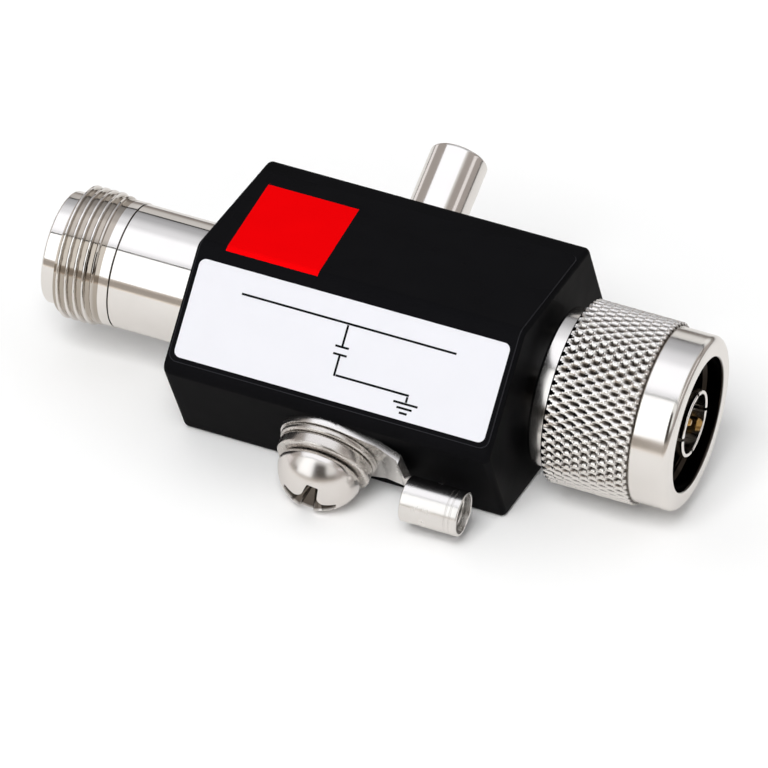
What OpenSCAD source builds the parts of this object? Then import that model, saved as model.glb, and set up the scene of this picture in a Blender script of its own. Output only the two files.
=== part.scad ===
// In-line lightning arrestor for a coaxial aerial cable.
// A hexagonal housing joins a threaded jack to a plug with a knurled coupling nut. A screwed cap
// holds a gas discharge tube against the centre conductor, and a screw on the opposite side
// clamps the lug of the earth wire.
// The origin is the middle of the housing's bottom face. X runs from jack to plug, Z is up.

/* [Housing] */
// Length of the housing along the line
body_len = 40; // [36:0.5:60]
// Width of the top and bottom flats
body_flat = 21; // [18:0.5:26]
// Width across the two side corners
body_width = 38; // [35:0.5:44]
// Height from the bottom flat to the top flat
body_height = 25; // [23:0.5:32]
// Radius of the long edges
edge_r = 1.5; // [1:0.1:2.5]
// Radius of the edges round each end face
end_r = 0.7; // [0.3:0.1:0.9]
// Diameter of the line bore through the housing
line_bore_d = 10; // [9:0.1:11]

/* [Label] */
// Length of the label film along the housing
label_len = 39; // [30:0.5:39.5]
// Thickness of the label film
label_t = 0.15; // [0.1:0.05:0.3]
// Bare margin behind the film on the top flat
label_back = 2.8; // [1.5:0.1:6]
// Depth of the film down the sloping face, from the top corner
label_drop = 13.8; // [8:0.1:13.9]
// Corner radius of the film
label_corner_r = 1; // [0.3:0.1:2]

/* [Jack] */
// Diameter of the jack's thread
thread_d = 15.8; // [15.6:0.05:15.9]
// Length of the thread
thread_len = 5.6; // [4:0.1:8]
// Diameter of the plain rim in front of the thread
rim_d = 13.4; // [12.5:0.1:14.4]
// Length of the plain rim
rim_len = 1.9; // [1:0.1:3]
// Diameter of the smooth barrel behind the thread
barrel_d = 14.8; // [14:0.1:15.4]
// Length of the smooth barrel
barrel_len = 11.5; // [8:0.1:20]
// Width of the groove in front of the barrel
groove_w = 0.3; // [0.2:0.05:0.6]
// Depth of the groove below the barrel
groove_depth = 0.3; // [0.2:0.05:0.5]
// Diameter of the plain band between groove and thread
band_d = 15; // [14.6:0.1:15.4]
// Length of the plain band
band_len = 1.2; // [0.6:0.1:2]
// Bevel at the front of the thread, on the rim and round the mouth
jack_bevel = 0.3; // [0.1:0.05:0.4]
// Depth of the mouth that takes a plug's sleeve
mouth_depth = 9; // [8:0.1:11]
// Setback of the socket contact from the jack's rim
contact_setback = 4.8; // [3:0.1:6]
// Length of each contact's insulator
insulator_len = 5; // [3:0.1:6]

/* [Line] */
// Bore of the outer conductor inside both connectors
outer_conductor_d = 7; // [6.6:0.05:7.2]
// Diameter of both inner contacts
contact_d = 3.04; // [2.8:0.02:3.2]
// Diameter of the plug's pin, and of the hole that takes one in the socket
pin_d = 1.62; // [1.5:0.02:1.7]
// Depth of the hole in the socket contact
socket_depth = 6; // [4:0.1:8]
// Width of the spring slots in the socket and in the sleeve
slot_w = 0.4; // [0.3:0.05:0.6]
// Diameter of the centre conductor in the housing
conductor_d = 4.34; // [3.8:0.02:4.6]
// Depth of the flat on the centre conductor that the gas tube rests on
conductor_flat = 0.4; // [0.2:0.05:0.6]
// Diameter of the spigot that joins each contact to the centre conductor
spigot_d = 1.8; // [1.4:0.1:2.2]
// Length of the spigot
spigot_len = 2; // [1.5:0.1:4]

/* [Connector tails] */
// Diameter of the tail that holds each connector in the housing
tail_d = 12; // [11.6:0.1:12.6]
// Length of the tail
tail_len = 7; // [5:0.1:8]

/* [Plug] */
// Diameter of the plug's neck, on which the nut turns
neck_d = 13; // [12.6:0.1:13.4]
// Outer diameter of the spring sleeve
sleeve_d = 8; // [7.8:0.02:8.1]
// Setback of the sleeve's end from the nut's front
sleeve_setback = 0.4; // [0.2:0.1:2]
// Length of the slots in the sleeve
sleeve_slot_len = 5.5; // [3:0.1:7]
// Setback of the pin's tip from the sleeve's end
pin_setback = 0.5; // [0.2:0.1:2]
// Length of the thin part of the pin
pin_len = 4.8; // [3:0.1:6]
// Radius of the pin's tip
pin_tip_r = 0.4; // [0.2:0.05:0.6]
// Length of the pin's thick part in front of its insulator
pin_root_len = 1; // [0.5:0.1:2]
// Length of the neck in front of the retaining ring
shoulder_len = 3; // [2:0.1:4]
// Thickness of the gasket
gasket_t = 1.6; // [1:0.1:2.5]
// Outer diameter of the gasket
gasket_d = 13.8; // [13:0.1:14.4]
// Thickness of the retaining ring
ring_t = 0.85; // [0.6:0.05:1.2]
// Depth of the ring's groove in the neck
ring_groove = 0.5; // [0.3:0.05:0.7]
// Opening of the retaining ring, in degrees
ring_gap = 25; // [15:1:60]
// Radial gap between the retaining ring and the bore of the nut
ring_side_gap = 0.3; // [0.1:0.05:0.5]

/* [Coupling nut] */
// Gap between the housing and the nut
nut_gap = 1.1; // [0.6:0.1:3]
// Length of the smooth collar behind the knurl
collar_len = 2.1; // [1:0.1:4]
// Diameter of the collar
collar_d = 18.8; // [18:0.1:20]
// Length of the knurled band
knurl_len = 10.6; // [6:0.1:14]
// Diameter over the knurl's points
knurl_d = 21.66; // [21:0.02:23]
// Depth of the knurl
knurl_depth = 0.45; // [0.3:0.05:0.7]
// Diamonds round the nut
knurl_count = 58; // [32:2:64]
// Rows of diamonds along the nut
knurl_rows = 5; // [3:1:8]
// Length of the plain front of the nut
front_len = 4.6; // [3:0.1:8]
// Diameter of the plain front
front_d = 20.7; // [20:0.1:21.4]
// Radius of the nut's front edge
front_r = 0.9; // [0.4:0.1:1.4]
// Thickness of the lip behind the retaining ring
lip_len = 3.2; // [2:0.1:5]
// Bore of the nut's thread
nut_bore_d = 15.1; // [14.9:0.05:15.3]
// Diameter of the counterbore at the nut's mouth
nut_mouth_d = 15.9; // [15.6:0.1:16.6]
// Depth of the counterbore
nut_mouth_len = 2; // [1:0.1:4]
// Bevel round the counterbore
nut_bevel = 0.3; // [0.1:0.05:0.5]

/* [Gas tube] */
// Diameter of the gas tube
tube_d = 5; // [4.4:0.1:5.4]
// Length of the gas tube
tube_len = 5.6; // [5:0.1:7]
// Thickness of each electrode's flange
electrode_t = 0.5; // [0.3:0.05:0.8]
// Spark gap between the electrodes
spark_gap = 1; // [0.6:0.1:1.6]
// Wall of the ceramic body
ceramic_wall = 0.8; // [0.5:0.05:1.1]
// Wire of the contact spring
spring_wire = 0.5; // [0.3:0.05:0.7]
// Turns of the contact spring
spring_turns = 6; // [4:1:9]

/* [Gas tube cap] */
// Diameter of the cap
cap_d = 7; // [6.6:0.1:8]
// Height of the cap above the housing
cap_height = 8.5; // [5:0.1:14]
// Radius of the cap's outer edge
cap_edge_r = 0.5; // [0.2:0.1:1]
// Diameter of the cap's threaded neck
cap_neck_d = 6; // [5.8:0.1:6.4]
// Length of the cap's neck
cap_neck_len = 5; // [4:0.1:6]
// Wall of the neck round the spring
cap_neck_wall = 0.9; // [0.6:0.1:1.1]

/* [Earth terminal] */
// Diameter of the screw's thread
screw_d = 6; // [5:0.5:6]
// Length of the screw under its head
screw_len = 11.5; // [9:0.5:12]
// Diameter of the screw's head
head_d = 9.8; // [9.4:0.1:10.4]
// Height of the screw's head
head_h = 5; // [4:0.1:5.6]
// Height of the straight rim of the head
head_rim = 1.2; // [0.6:0.1:1.6]
// Bevel under the head's edge
head_bevel = 0.3; // [0.1:0.05:0.4]
// Span of the cross recess where its arms come out of the dome
recess_span = 6.4; // [5:0.1:7]
// Span of the cross recess at its floor
recess_floor = 2; // [1.6:0.1:3]
// Depth of the cross recess below the top of the dome
recess_depth = 2.8; // [2:0.1:3.4]
// Width of the cross recess's arms
recess_w = 1.2; // [0.8:0.1:1.4]
// Diameter of the round middle of the cross recess, at the top of the dome
recess_core_d = 3.4; // [2.6:0.1:4]
// Turn of the cross recess, in degrees
recess_turn = -15; // [-45:1:45]
// Distance of the screw above the middle of its face
screw_up = 0.6; // [0.4:0.1:1.4]
// Outer diameter of the spring washer
spring_washer_d = 11.2; // [9.8:0.1:11.5]
// Thickness of the spring washer
spring_washer_t = 1.7; // [1:0.1:2]
// Slit in the spring washer
spring_washer_slit = 1.2; // [0.5:0.1:1.5]
// Direction of the slit round the screw, in degrees
slit_angle = -37; // [-90:1:90]
// Slant of the slit across the washer, in degrees
slit_slant = 20; // [0:1:30]
// Outer diameter of the flat washer
flat_washer_d = 11.6; // [11:0.1:12.4]
// Thickness of the flat washer
flat_washer_t = 0.8; // [0.6:0.1:1.8]

/* [Earth lug] */
// Thickness of the lug's sheet
lug_t = 0.8; // [0.6:0.1:1.2]
// Diameter of the lug's ring
lug_ring_d = 12; // [11.6:0.1:13.4]
// Width of the lug's tongue at its bend
tongue_w = 6.6; // [5.6:0.1:8]
// Distance of the bend from the screw
tongue_len = 9.2; // [8:0.1:12]
// Length of the sloping sheet between bend and barrel
bend_len = 1.5; // [1.2:0.1:3]
// Outer diameter of the crimp barrel
crimp_d = 5; // [4.8:0.1:5.6]
// Bore of the crimp barrel
crimp_bore_d = 4; // [3.4:0.1:4.2]
// Length of the crimp barrel
crimp_len = 7; // [5:0.1:10]
// Step of the barrel's underside above the housing
crimp_lift = 1.6; // [1.2:0.1:2.2]
// Bevel in the barrel's mouth
crimp_bevel = 0.3; // [0.1:0.05:0.4]

/* [Clearances] */
// Radial gap round a piece that turns or slides
run_gap = 0.08; // [0.04:0.01:0.1]
// Radial gap round a piece that is pressed or soldered in place
fit_gap = 0.02; // [0.01:0.01:0.04]
// Radial gap between a washer or lug and the screw
hole_gap = 0.2; // [0.1:0.05:0.4]
// Gap between the retaining ring and the lip of the nut
ring_play = 0.1; // [0.05:0.05:0.3]
// Gap between a piece that moves and the flat face that it rests on
seat_gap = 0.02; // [0.01:0.01:0.05]

/* [Hidden] */
$fn = 64;

// A cut reaches this far past the face that it opens
past = 1;

half_len = body_len / 2;
half_flat = body_flat / 2;
half_width = body_width / 2;
half_height = body_height / 2;
line_z = half_height;

// The sloping faces lean by this angle, and lie this far from the line
face_tilt = atan2(half_width - half_flat, half_height);
face_dist = half_width * cos(face_tilt);

// Places along the jack, counted outwards from the housing's end face
band_start = barrel_len + groove_w;
thread_start = band_start + band_len;
rim_start = thread_start + thread_len;
jack_len = rim_start + rim_len;
mouth_floor = jack_len - mouth_depth;
mouth_d = sleeve_d + 2 * run_gap;

// Places along the plug, counted outwards from the housing's end face
knurl_start = nut_gap + collar_len;
front_start = knurl_start + knurl_len;
nut_end = front_start + front_len;
lip_end = nut_gap + lip_len;
ring_start = lip_end + ring_play;
neck_end = ring_start + ring_t + shoulder_len;
gasket_end = neck_end + gasket_t;
sleeve_end = nut_end - sleeve_setback;
pin_tip = sleeve_end - pin_setback;
pin_shoulder = pin_tip - pin_len;
plug_floor = pin_shoulder - pin_root_len;
ring_d = nut_bore_d - 2 * ring_side_gap;

// Places along the cap's axis, counted outwards from the line
tube_seat = conductor_d / 2 - conductor_flat;
tube_start = tube_seat + seat_gap;
tube_end = tube_start + tube_len;
cap_base = face_dist + seat_gap;
cap_neck_start = cap_base - cap_neck_len;
cap_end = cap_base + cap_height;
cap_cavity_d = cap_neck_d - 2 * cap_neck_wall;
cap_roof = cap_base - cap_neck_wall;
spring_d = cap_cavity_d - 2 * hole_gap;

// Heights above the lower front face, where the earth terminal sits
lug_base = seat_gap;
flat_washer_base = lug_base + lug_t + seat_gap;
spring_washer_base = flat_washer_base + flat_washer_t;
head_base = spring_washer_base + spring_washer_t + seat_gap;
screw_hole_depth = screw_len - head_base + past;
washer_hole_d = screw_d + 2 * hole_gap;
crimp_start = tongue_len + bend_len;
crimp_axis = crimp_lift + crimp_d / 2;

// Local frames: Z is the axis of the piece that is placed

module along_line() translate([0, 0, line_z]) rotate([90, 0, 90]) children();

module at_jack() translate([-half_len, 0, line_z]) rotate([90, 0, -90]) children();

module at_plug() translate([half_len, 0, line_z]) rotate([90, 0, 90]) children();

module at_cap() translate([0, 0, line_z]) rotate([face_tilt - 90, 0, 0]) children();

module at_screw() {
  middle = [0, -(half_width + half_flat) / 2, line_z - half_height / 2];
  translate(middle) rotate([90 + face_tilt, 0, 0]) translate([0, screw_up, 0]) children();
}

module at_label_face() {
  translate([0, -half_flat, body_height]) rotate([90 - face_tilt, 0, 0]) children();
}

// Shapes that several pieces share

// A hole's mouth, bevelled at its outer end
module bevelled_mouth(d, bevel, at) {
  translate([0, 0, at - bevel]) cylinder(d1 = d, d2 = d + 2 * (bevel + past), h = bevel + past);
}

module tube(outer_d, inner_d, from, to) {
  translate([0, 0, from]) difference() {
    cylinder(d = outer_d, h = to - from);
    translate([0, 0, -past]) cylinder(d = inner_d, h = to - from + 2 * past);
  }
}

module rod(d, from, to) translate([0, 0, from]) cylinder(d = d, h = to - from);

module cross_slots(width, from, to, reach) {
  for (turn = [0, 90])
    rotate([0, 0, turn])
      translate([-reach, -width / 2, from]) cube([2 * reach, width, to - from]);
}

module rounded_rectangle(x0, x1, y0, y1, r) {
  translate([x0 + r, y0]) square([x1 - x0 - 2 * r, y1 - y0]);
  translate([x0, y0 + r]) square([x1 - x0, y1 - y0 - 2 * r]);
  for (x = [x0 + r, x1 - r], y = [y0 + r, y1 - r])
    translate([x, y]) circle(r);
}

// Outline of the housing across the line: the middles of the rounded corners, and the direction
// that each face looks in, both in turn from the back of the top flat
function corner_middles(r) =
  let (
    top_z = half_height - r,
    top_y = (face_dist - r - top_z * sin(face_tilt)) / cos(face_tilt),
    side_y = (face_dist - r) / cos(face_tilt)
  )
  [
    [top_y, top_z], [-top_y, top_z], [-side_y, 0],
    [-top_y, -top_z], [top_y, -top_z], [side_y, 0]
  ];

face_angles = [90, 180 - face_tilt, 180 + face_tilt, 270, -face_tilt, face_tilt];

// Outline of the housing with its corners rounded, and moved outwards by grow
module housing_outline(grow) {
  middles = corner_middles(edge_r);
  r = edge_r + grow;
  polygon([
    for (i = [0:5])
      for (k = [i - 1, i])
        middles[i] + r * [cos(face_angles[(k + 6) % 6]), sin(face_angles[(k + 6) % 6])]
  ]);
  for (middle = middles) translate(middle) circle(r);
}

// One long edge of the housing: a rod of the edge's radius with both ends rounded over
module edge_rod() {
  flat_half = half_len - end_r;
  rotate_extrude() intersection() {
    translate([0, -half_len]) square([edge_r, body_len]);
    union() {
      translate([0, -half_len]) square([edge_r - end_r, body_len]);
      translate([0, -flat_half]) square([edge_r, 2 * flat_half]);
      for (y = [-flat_half, flat_half]) translate([edge_r - end_r, y]) circle(end_r);
    }
  }
}

// The block spans six such rods
module housing_block() {
  hull() along_line()
    for (middle = corner_middles(edge_r)) translate(middle) edge_rod($fn = 32);
}

module housing() {
  color("#17181a") difference() {
    housing_block();
    along_line() cylinder(d = line_bore_d, h = body_len + 2 * past, center = true);
    for (end = [0, 1])
      mirror([end, 0, 0]) at_plug() rod(tail_d + 2 * fit_gap, -tail_len, past);
    at_cap() rod(tube_d + 2 * run_gap, 0, face_dist);
    at_cap() rod(cap_neck_d + 2 * run_gap, cap_neck_start - seat_gap, face_dist + past);
    at_screw() rod(screw_d + 2 * run_gap, -screw_hole_depth, past);
  }
}

module label_film() {
  side = label_len / 2;
  color("#101113") intersection() {
    along_line() linear_extrude(label_len, center = true) difference() {
      housing_outline(label_t);
      housing_outline(0);
    }
    translate([0, 0, line_z]) linear_extrude(half_height + past)
      rounded_rectangle(-side, side, -half_width - past, half_flat - label_back, label_corner_r);
    at_label_face() translate([0, 0, -body_width]) linear_extrude(body_width + past)
      rounded_rectangle(-side, side, -label_drop, body_width, label_corner_r);
  }
}

module jack_shell() {
  bore_r = outer_conductor_d / 2;
  mouth_r = mouth_d / 2;
  rim_r = rim_d / 2;
  thread_r = thread_d / 2;
  band_r = band_d / 2;
  groove_r = barrel_d / 2 - groove_depth;
  run_out = thread_r - band_r;
  color("#c9c4bb") at_jack() rotate_extrude() polygon([
    [bore_r, -tail_len], [tail_d / 2, -tail_len], [tail_d / 2, 0],
    [barrel_d / 2, 0], [barrel_d / 2, barrel_len], [groove_r, barrel_len],
    [groove_r, band_start], [band_r, band_start], [band_r, thread_start],
    [thread_r, thread_start + run_out], [thread_r, rim_start - jack_bevel], [thread_r - jack_bevel, rim_start],
    [rim_r, rim_start], [rim_r, jack_len - jack_bevel], [rim_r - jack_bevel, jack_len],
    [mouth_r + jack_bevel, jack_len], [mouth_r, jack_len - jack_bevel],
    [mouth_r, mouth_floor], [bore_r, mouth_floor]
  ]);
}

module jack_insulator() {
  color("#eeeae0") at_jack()
    tube(outer_conductor_d - 2 * fit_gap, contact_d + 2 * fit_gap, mouth_floor - insulator_len, mouth_floor);
}

module jack_contact() {
  tip = jack_len - contact_setback;
  color("#c9a24a") at_jack() {
    rod(spigot_d, -tail_len - spigot_len, -tail_len);
    difference() {
      rod(contact_d, -tail_len, tip);
      rod(pin_d + 2 * run_gap, tip - socket_depth, tip + past);
      cross_slots(slot_w, tip - socket_depth, tip + past, contact_d);
    }
  }
}

module plug_body() {
  sleeve_slot = sleeve_end - sleeve_slot_len;
  color("#bdb8ae") at_plug() difference() {
    union() {
      rod(tail_d, -tail_len, past);
      rod(neck_d, 0, neck_end);
      rod(sleeve_d, neck_end - past, sleeve_end);
    }
    rod(outer_conductor_d, -tail_len - past, sleeve_end + past);
    tube(neck_d + past, neck_d - 2 * ring_groove, ring_start, ring_start + ring_t + ring_play);
    cross_slots(slot_w, sleeve_slot, sleeve_end + past, sleeve_d);
  }
}

module plug_insulator() {
  color("#eeeae0") at_plug()
    tube(outer_conductor_d - 2 * fit_gap, contact_d + 2 * fit_gap, plug_floor - insulator_len, plug_floor);
}

module plug_pin() {
  color("#d0a94e") at_plug() {
    rod(spigot_d, -tail_len - spigot_len, -tail_len);
    rod(contact_d, -tail_len, pin_shoulder);
    rotate_extrude() {
      translate([0, pin_shoulder]) square([pin_d / 2, pin_len - pin_tip_r]);
      translate([0, pin_shoulder]) square([pin_d / 2 - pin_tip_r, pin_len]);
      translate([pin_d / 2 - pin_tip_r, pin_tip - pin_tip_r]) circle(pin_tip_r);
    }
  }
}

module gasket() {
  color("#b8362c") at_plug() tube(gasket_d, sleeve_d + 2 * fit_gap, neck_end, gasket_end);
}

module retaining_ring() {
  color("#a9a9a6") at_plug() difference() {
    tube(ring_d, neck_d - 2 * ring_groove + 2 * fit_gap, ring_start, ring_start + ring_t);
    translate([0, 0, ring_start - past]) linear_extrude(ring_t + 2 * past)
      polygon([
        [0, 0],
        ring_d * [cos(ring_gap / 2), sin(ring_gap / 2)],
        ring_d * [cos(ring_gap / 2), -sin(ring_gap / 2)]
      ]);
  }
}

// A diamond knurl: points and roots take turns round the nut and along it, and the two end rows
// lie at the root, so the pattern runs out into plain round ends
module knurled_band() {
  columns = 2 * knurl_count;
  steps = 2 * knurl_rows;
  function on_point(i, j) = j > 0 && j < steps && (i + j) % 2 == 0;
  function knurl_r(i, j) = knurl_d / 2 - (on_point(i, j) ? 0 : knurl_depth);
  function at(i, j) = j * columns + i % columns;
  function half_cells(i, j) =
    (i + j) % 2 == 0
      ? [[at(i, j), at(i, j + 1), at(i + 1, j)], [at(i + 1, j), at(i, j + 1), at(i + 1, j + 1)]]
      : [[at(i, j), at(i + 1, j + 1), at(i + 1, j)], [at(i, j), at(i, j + 1), at(i + 1, j + 1)]];
  polyhedron(
    points = [
      for (j = [0:steps], i = [0:columns - 1])
        [
          knurl_r(i, j) * cos(360 * i / columns),
          knurl_r(i, j) * sin(360 * i / columns),
          knurl_start + knurl_len * j / steps
        ]
    ],
    faces = [
      [for (i = [0:columns - 1]) at(i, 0)],
      [for (i = [columns - 1:-1:0]) at(i, steps)],
      for (j = [0:steps - 1], i = [0:columns - 1]) each half_cells(i, j)
    ]
  );
}

module coupling_nut() {
  // The plain front starts this far inside the knurl's last row
  blend = 0.1;
  color("#cfcac1") at_plug() difference() {
    union() {
      rod(collar_d, nut_gap, knurl_start + past);
      knurled_band();
      rotate_extrude() {
        translate([0, front_start - blend]) square([front_d / 2, front_len + blend - front_r]);
        translate([0, front_start - blend]) square([front_d / 2 - front_r, front_len + blend]);
        translate([front_d / 2 - front_r, nut_end - front_r]) circle(front_r);
      }
    }
    rod(neck_d + 2 * run_gap, nut_gap - past, nut_end);
    rod(nut_bore_d, lip_end, nut_end);
    rod(nut_mouth_d, nut_end - nut_mouth_len, nut_end + past);
    bevelled_mouth(nut_mouth_d, nut_bevel, nut_end);
  }
}

module centre_conductor() {
  conductor_half = half_len - tail_len;
  color("#c2b48a") difference() {
    along_line() cylinder(d = conductor_d, h = 2 * conductor_half, center = true);
    for (end = [0, 1])
      mirror([end, 0, 0]) at_plug() rod(spigot_d + 2 * fit_gap, -tail_len - spigot_len - fit_gap, 0);
    at_cap() rod(tube_d + 2 * run_gap, tube_seat, conductor_d);
  }
}

// An electrode of the gas tube, standing on its flange with its plug pointing up
module electrode() {
  plug_h = (tube_len - spark_gap) / 2;
  rod(tube_d - 2 * fit_gap, 0, electrode_t);
  rod(tube_d - 2 * ceramic_wall - 2 * fit_gap, 0, plug_h);
}

module tube_inner_electrode() {
  color("#b4a58f") at_cap() translate([0, 0, tube_start]) electrode();
}

module tube_ceramic() {
  color("#efe9dc") at_cap()
    tube(tube_d, tube_d - 2 * ceramic_wall, tube_start + electrode_t, tube_end - electrode_t);
}

module tube_outer_electrode() {
  color("#b4a58f") at_cap() translate([0, 0, tube_end]) mirror([0, 0, 1]) electrode();
}

// A round wire wound from the tube's end to the roof of the cap, with a close turn at each end
module contact_spring() {
  sides = 8;
  steps_per_turn = 16;
  steps = spring_turns * steps_per_turn;
  wire_r = spring_wire / 2;
  mean_r = (spring_d - spring_wire) / 2;
  low = tube_end + wire_r;
  high = cap_roof - seat_gap - wire_r;
  // The end turns lie this many wire thicknesses apart
  close_turns = 1.2;
  close_pitch = close_turns * spring_wire;
  open_pitch = (high - low - 2 * close_pitch) / (spring_turns - 2);
  function rise(turns) =
    close_pitch * (min(turns, 1) + max(turns - spring_turns + 1, 0))
    + open_pitch * min(max(turns - 1, 0), spring_turns - 2);
  color("#b9bcbe") at_cap() polyhedron(
    points = [
      for (k = [0:steps], s = [0:sides - 1])
        let (
          turn = 360 * k / steps_per_turn,
          r = mean_r + wire_r * cos(360 * s / sides)
        )
        [
          r * cos(turn), r * sin(turn),
          low + rise(k / steps_per_turn) + wire_r * sin(360 * s / sides)
        ]
    ],
    faces = [
      [for (s = [0:sides - 1]) s],
      [for (s = [sides - 1:-1:0]) steps * sides + s],
      for (k = [0:steps - 1], s = [0:sides - 1])
        [
          k * sides + s, (k + 1) * sides + s,
          (k + 1) * sides + (s + 1) % sides, k * sides + (s + 1) % sides
        ]
    ]
  );
}

module tube_cap() {
  color("#cdc8bf") at_cap() difference() {
    union() {
      rod(cap_neck_d, cap_neck_start, cap_base + past);
      rotate_extrude() {
        translate([0, cap_base]) square([cap_d / 2, cap_height - cap_edge_r]);
        translate([0, cap_base]) square([cap_d / 2 - cap_edge_r, cap_height]);
        translate([cap_d / 2 - cap_edge_r, cap_end - cap_edge_r]) circle(cap_edge_r);
      }
    }
    rod(cap_cavity_d, cap_neck_start - past, cap_roof);
  }
}

// The lug is one folded sheet: a ring and tongue on the housing, a bend, and a rolled barrel
module ground_lug() {
  half_tongue = tongue_w / 2;
  half_crimp = crimp_d / 2;
  crimp_end = crimp_start + crimp_len;
  // The sheet runs into the barrel's wall this far, as wide as the barrel is at the sheet's top
  root_len = lug_t / 2;
  half_root = sqrt(pow(half_crimp, 2) - pow(half_crimp - lug_t, 2));
  color("#d3d1cc") at_screw() translate([0, 0, lug_base]) difference() {
    union() {
      cylinder(d = lug_ring_d, h = lug_t);
      linear_extrude(lug_t) polygon([
        [0, -lug_ring_d / 2], [tongue_len, -half_tongue], [tongue_len, half_tongue], [0, lug_ring_d / 2]
      ]);
      intersection() {
        rotate([90, 0, 0]) linear_extrude(tongue_w, center = true) polygon([
          [tongue_len - lug_t, 0], [tongue_len, 0], [crimp_start, crimp_lift],
          [crimp_start + root_len, crimp_lift], [crimp_start + root_len, crimp_lift + lug_t],
          [crimp_start - lug_t / 2, crimp_lift + lug_t], [tongue_len - lug_t / 2, lug_t],
          [tongue_len - lug_t, lug_t]
        ]);
        linear_extrude(crimp_axis) polygon([
          [tongue_len - lug_t, -half_tongue], [tongue_len, -half_tongue],
          [crimp_start, -half_root], [crimp_start + root_len, -half_root],
          [crimp_start + root_len, half_root], [crimp_start, half_root],
          [tongue_len, half_tongue], [tongue_len - lug_t, half_tongue]
        ]);
      }
      translate([crimp_start, 0, crimp_axis]) rotate([0, 90, 0]) cylinder(d = crimp_d, h = crimp_len);
    }
    translate([0, 0, -past]) cylinder(d = washer_hole_d, h = lug_t + 2 * past);
    translate([0, 0, crimp_axis]) rotate([0, 90, 0]) {
      rod(crimp_bore_d, tongue_len, crimp_end + past);
      bevelled_mouth(crimp_bore_d, crimp_bevel, crimp_end);
    }
  }
}

module flat_washer() {
  color("#c4c3bf") at_screw()
    tube(flat_washer_d, washer_hole_d, flat_washer_base, spring_washer_base);
}

module spring_washer() {
  color("#b9b8b4") at_screw() difference() {
    tube(spring_washer_d, washer_hole_d, spring_washer_base, spring_washer_base + spring_washer_t);
    translate([0, 0, spring_washer_base + spring_washer_t / 2]) rotate([slit_slant, 0, slit_angle])
      translate([0, -spring_washer_slit / 2, -spring_washer_t])
        cube([spring_washer_d, spring_washer_slit, 2 * spring_washer_t]);
  }
}

// A round head over a straight rim, with a cross recess whose arms slope up to the dome
module ground_screw() {
  dome_h = head_h - head_rim;
  dome_r = (head_d * head_d / 4 + dome_h * dome_h) / (2 * dome_h);
  half_span = recess_span / 2;
  span_h = head_h - dome_r + sqrt(pow(dome_r, 2) - pow(half_span, 2));
  floor_h = head_h - recess_depth;
  color("#d6d3cd") at_screw() translate([0, 0, head_base]) difference() {
    union() {
      rod(screw_d, -screw_len, head_rim);
      rotate_extrude() intersection() {
        polygon([
          [0, 0], [head_d / 2 - head_bevel, 0], [head_d / 2, head_bevel], [head_d / 2, head_h], [0, head_h]
        ]);
        translate([0, head_h - dome_r]) circle(dome_r, $fn = 128);
      }
    }
    for (turn = [0, 90])
      rotate([90, 0, recess_turn + turn]) linear_extrude(recess_w, center = true) polygon([
        [-half_span, head_h + past], [-half_span, span_h], [-recess_floor / 2, floor_h],
        [recess_floor / 2, floor_h], [half_span, span_h], [half_span, head_h + past]
      ]);
    translate([0, 0, floor_h]) cylinder(d1 = recess_w, d2 = recess_core_d, h = recess_depth);
  }
}

housing();
label_film();
jack_shell();
jack_insulator();
jack_contact();
plug_body();
plug_insulator();
plug_pin();
gasket();
retaining_ring();
coupling_nut();
centre_conductor();
tube_inner_electrode();
tube_ceramic();
tube_outer_electrode();
contact_spring();
tube_cap();
ground_lug();
flat_washer();
spring_washer();
ground_screw();
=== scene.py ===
"""Looks of an in-line lightning arrestor for a coaxial aerial cable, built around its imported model.

Lengths below are in millimetres, and become metres when a mesh is made. Turned pieces are drawn as
outlines of (distance along the axis, radius), each in the local frame of its own axis.
"""

import math

import bmesh
import bpy
import numpy as np
from mathutils import Matrix, Vector


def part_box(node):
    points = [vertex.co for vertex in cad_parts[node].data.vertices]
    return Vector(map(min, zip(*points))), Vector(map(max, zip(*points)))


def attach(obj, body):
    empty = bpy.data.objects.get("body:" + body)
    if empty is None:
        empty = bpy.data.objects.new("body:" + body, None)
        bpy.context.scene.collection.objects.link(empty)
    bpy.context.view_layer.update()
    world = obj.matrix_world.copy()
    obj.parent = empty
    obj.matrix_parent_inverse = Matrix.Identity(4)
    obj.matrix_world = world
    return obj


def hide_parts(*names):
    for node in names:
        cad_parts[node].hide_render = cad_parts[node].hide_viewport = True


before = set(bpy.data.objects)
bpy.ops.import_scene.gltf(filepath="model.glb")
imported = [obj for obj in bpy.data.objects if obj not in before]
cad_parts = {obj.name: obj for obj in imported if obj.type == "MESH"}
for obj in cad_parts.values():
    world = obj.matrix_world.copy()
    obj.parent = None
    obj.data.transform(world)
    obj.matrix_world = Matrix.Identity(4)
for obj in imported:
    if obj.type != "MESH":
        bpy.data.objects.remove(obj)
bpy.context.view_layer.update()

MM = 0.001
TAU = 2 * math.pi

# Housing: a hexagonal block, measured between the sharp corners that its round edges replace
housing_low, housing_high = (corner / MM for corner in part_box("housing"))
BODY_LEN = housing_high.x - housing_low.x
BODY_HEIGHT = housing_high.z - housing_low.z
BODY_WIDTH = 38.0
BODY_FLAT = 21.0
EDGE_R = 1.5
END_R = 0.7
HALF_LEN = BODY_LEN / 2
LINE_Z = BODY_HEIGHT / 2
FACE_TILT = math.atan2((BODY_WIDTH - BODY_FLAT) / 2, LINE_Z)
FACE_DIST = BODY_WIDTH / 2 * math.cos(FACE_TILT)
TAIL_D = 12.0
TAIL_LEN = 7.0
HOUSING_BORE_D = 10.0
TUBE_D = 5.0
FIT_GAP = 0.02
RUN_GAP = 0.08
SEAT_GAP = 0.02

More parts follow.
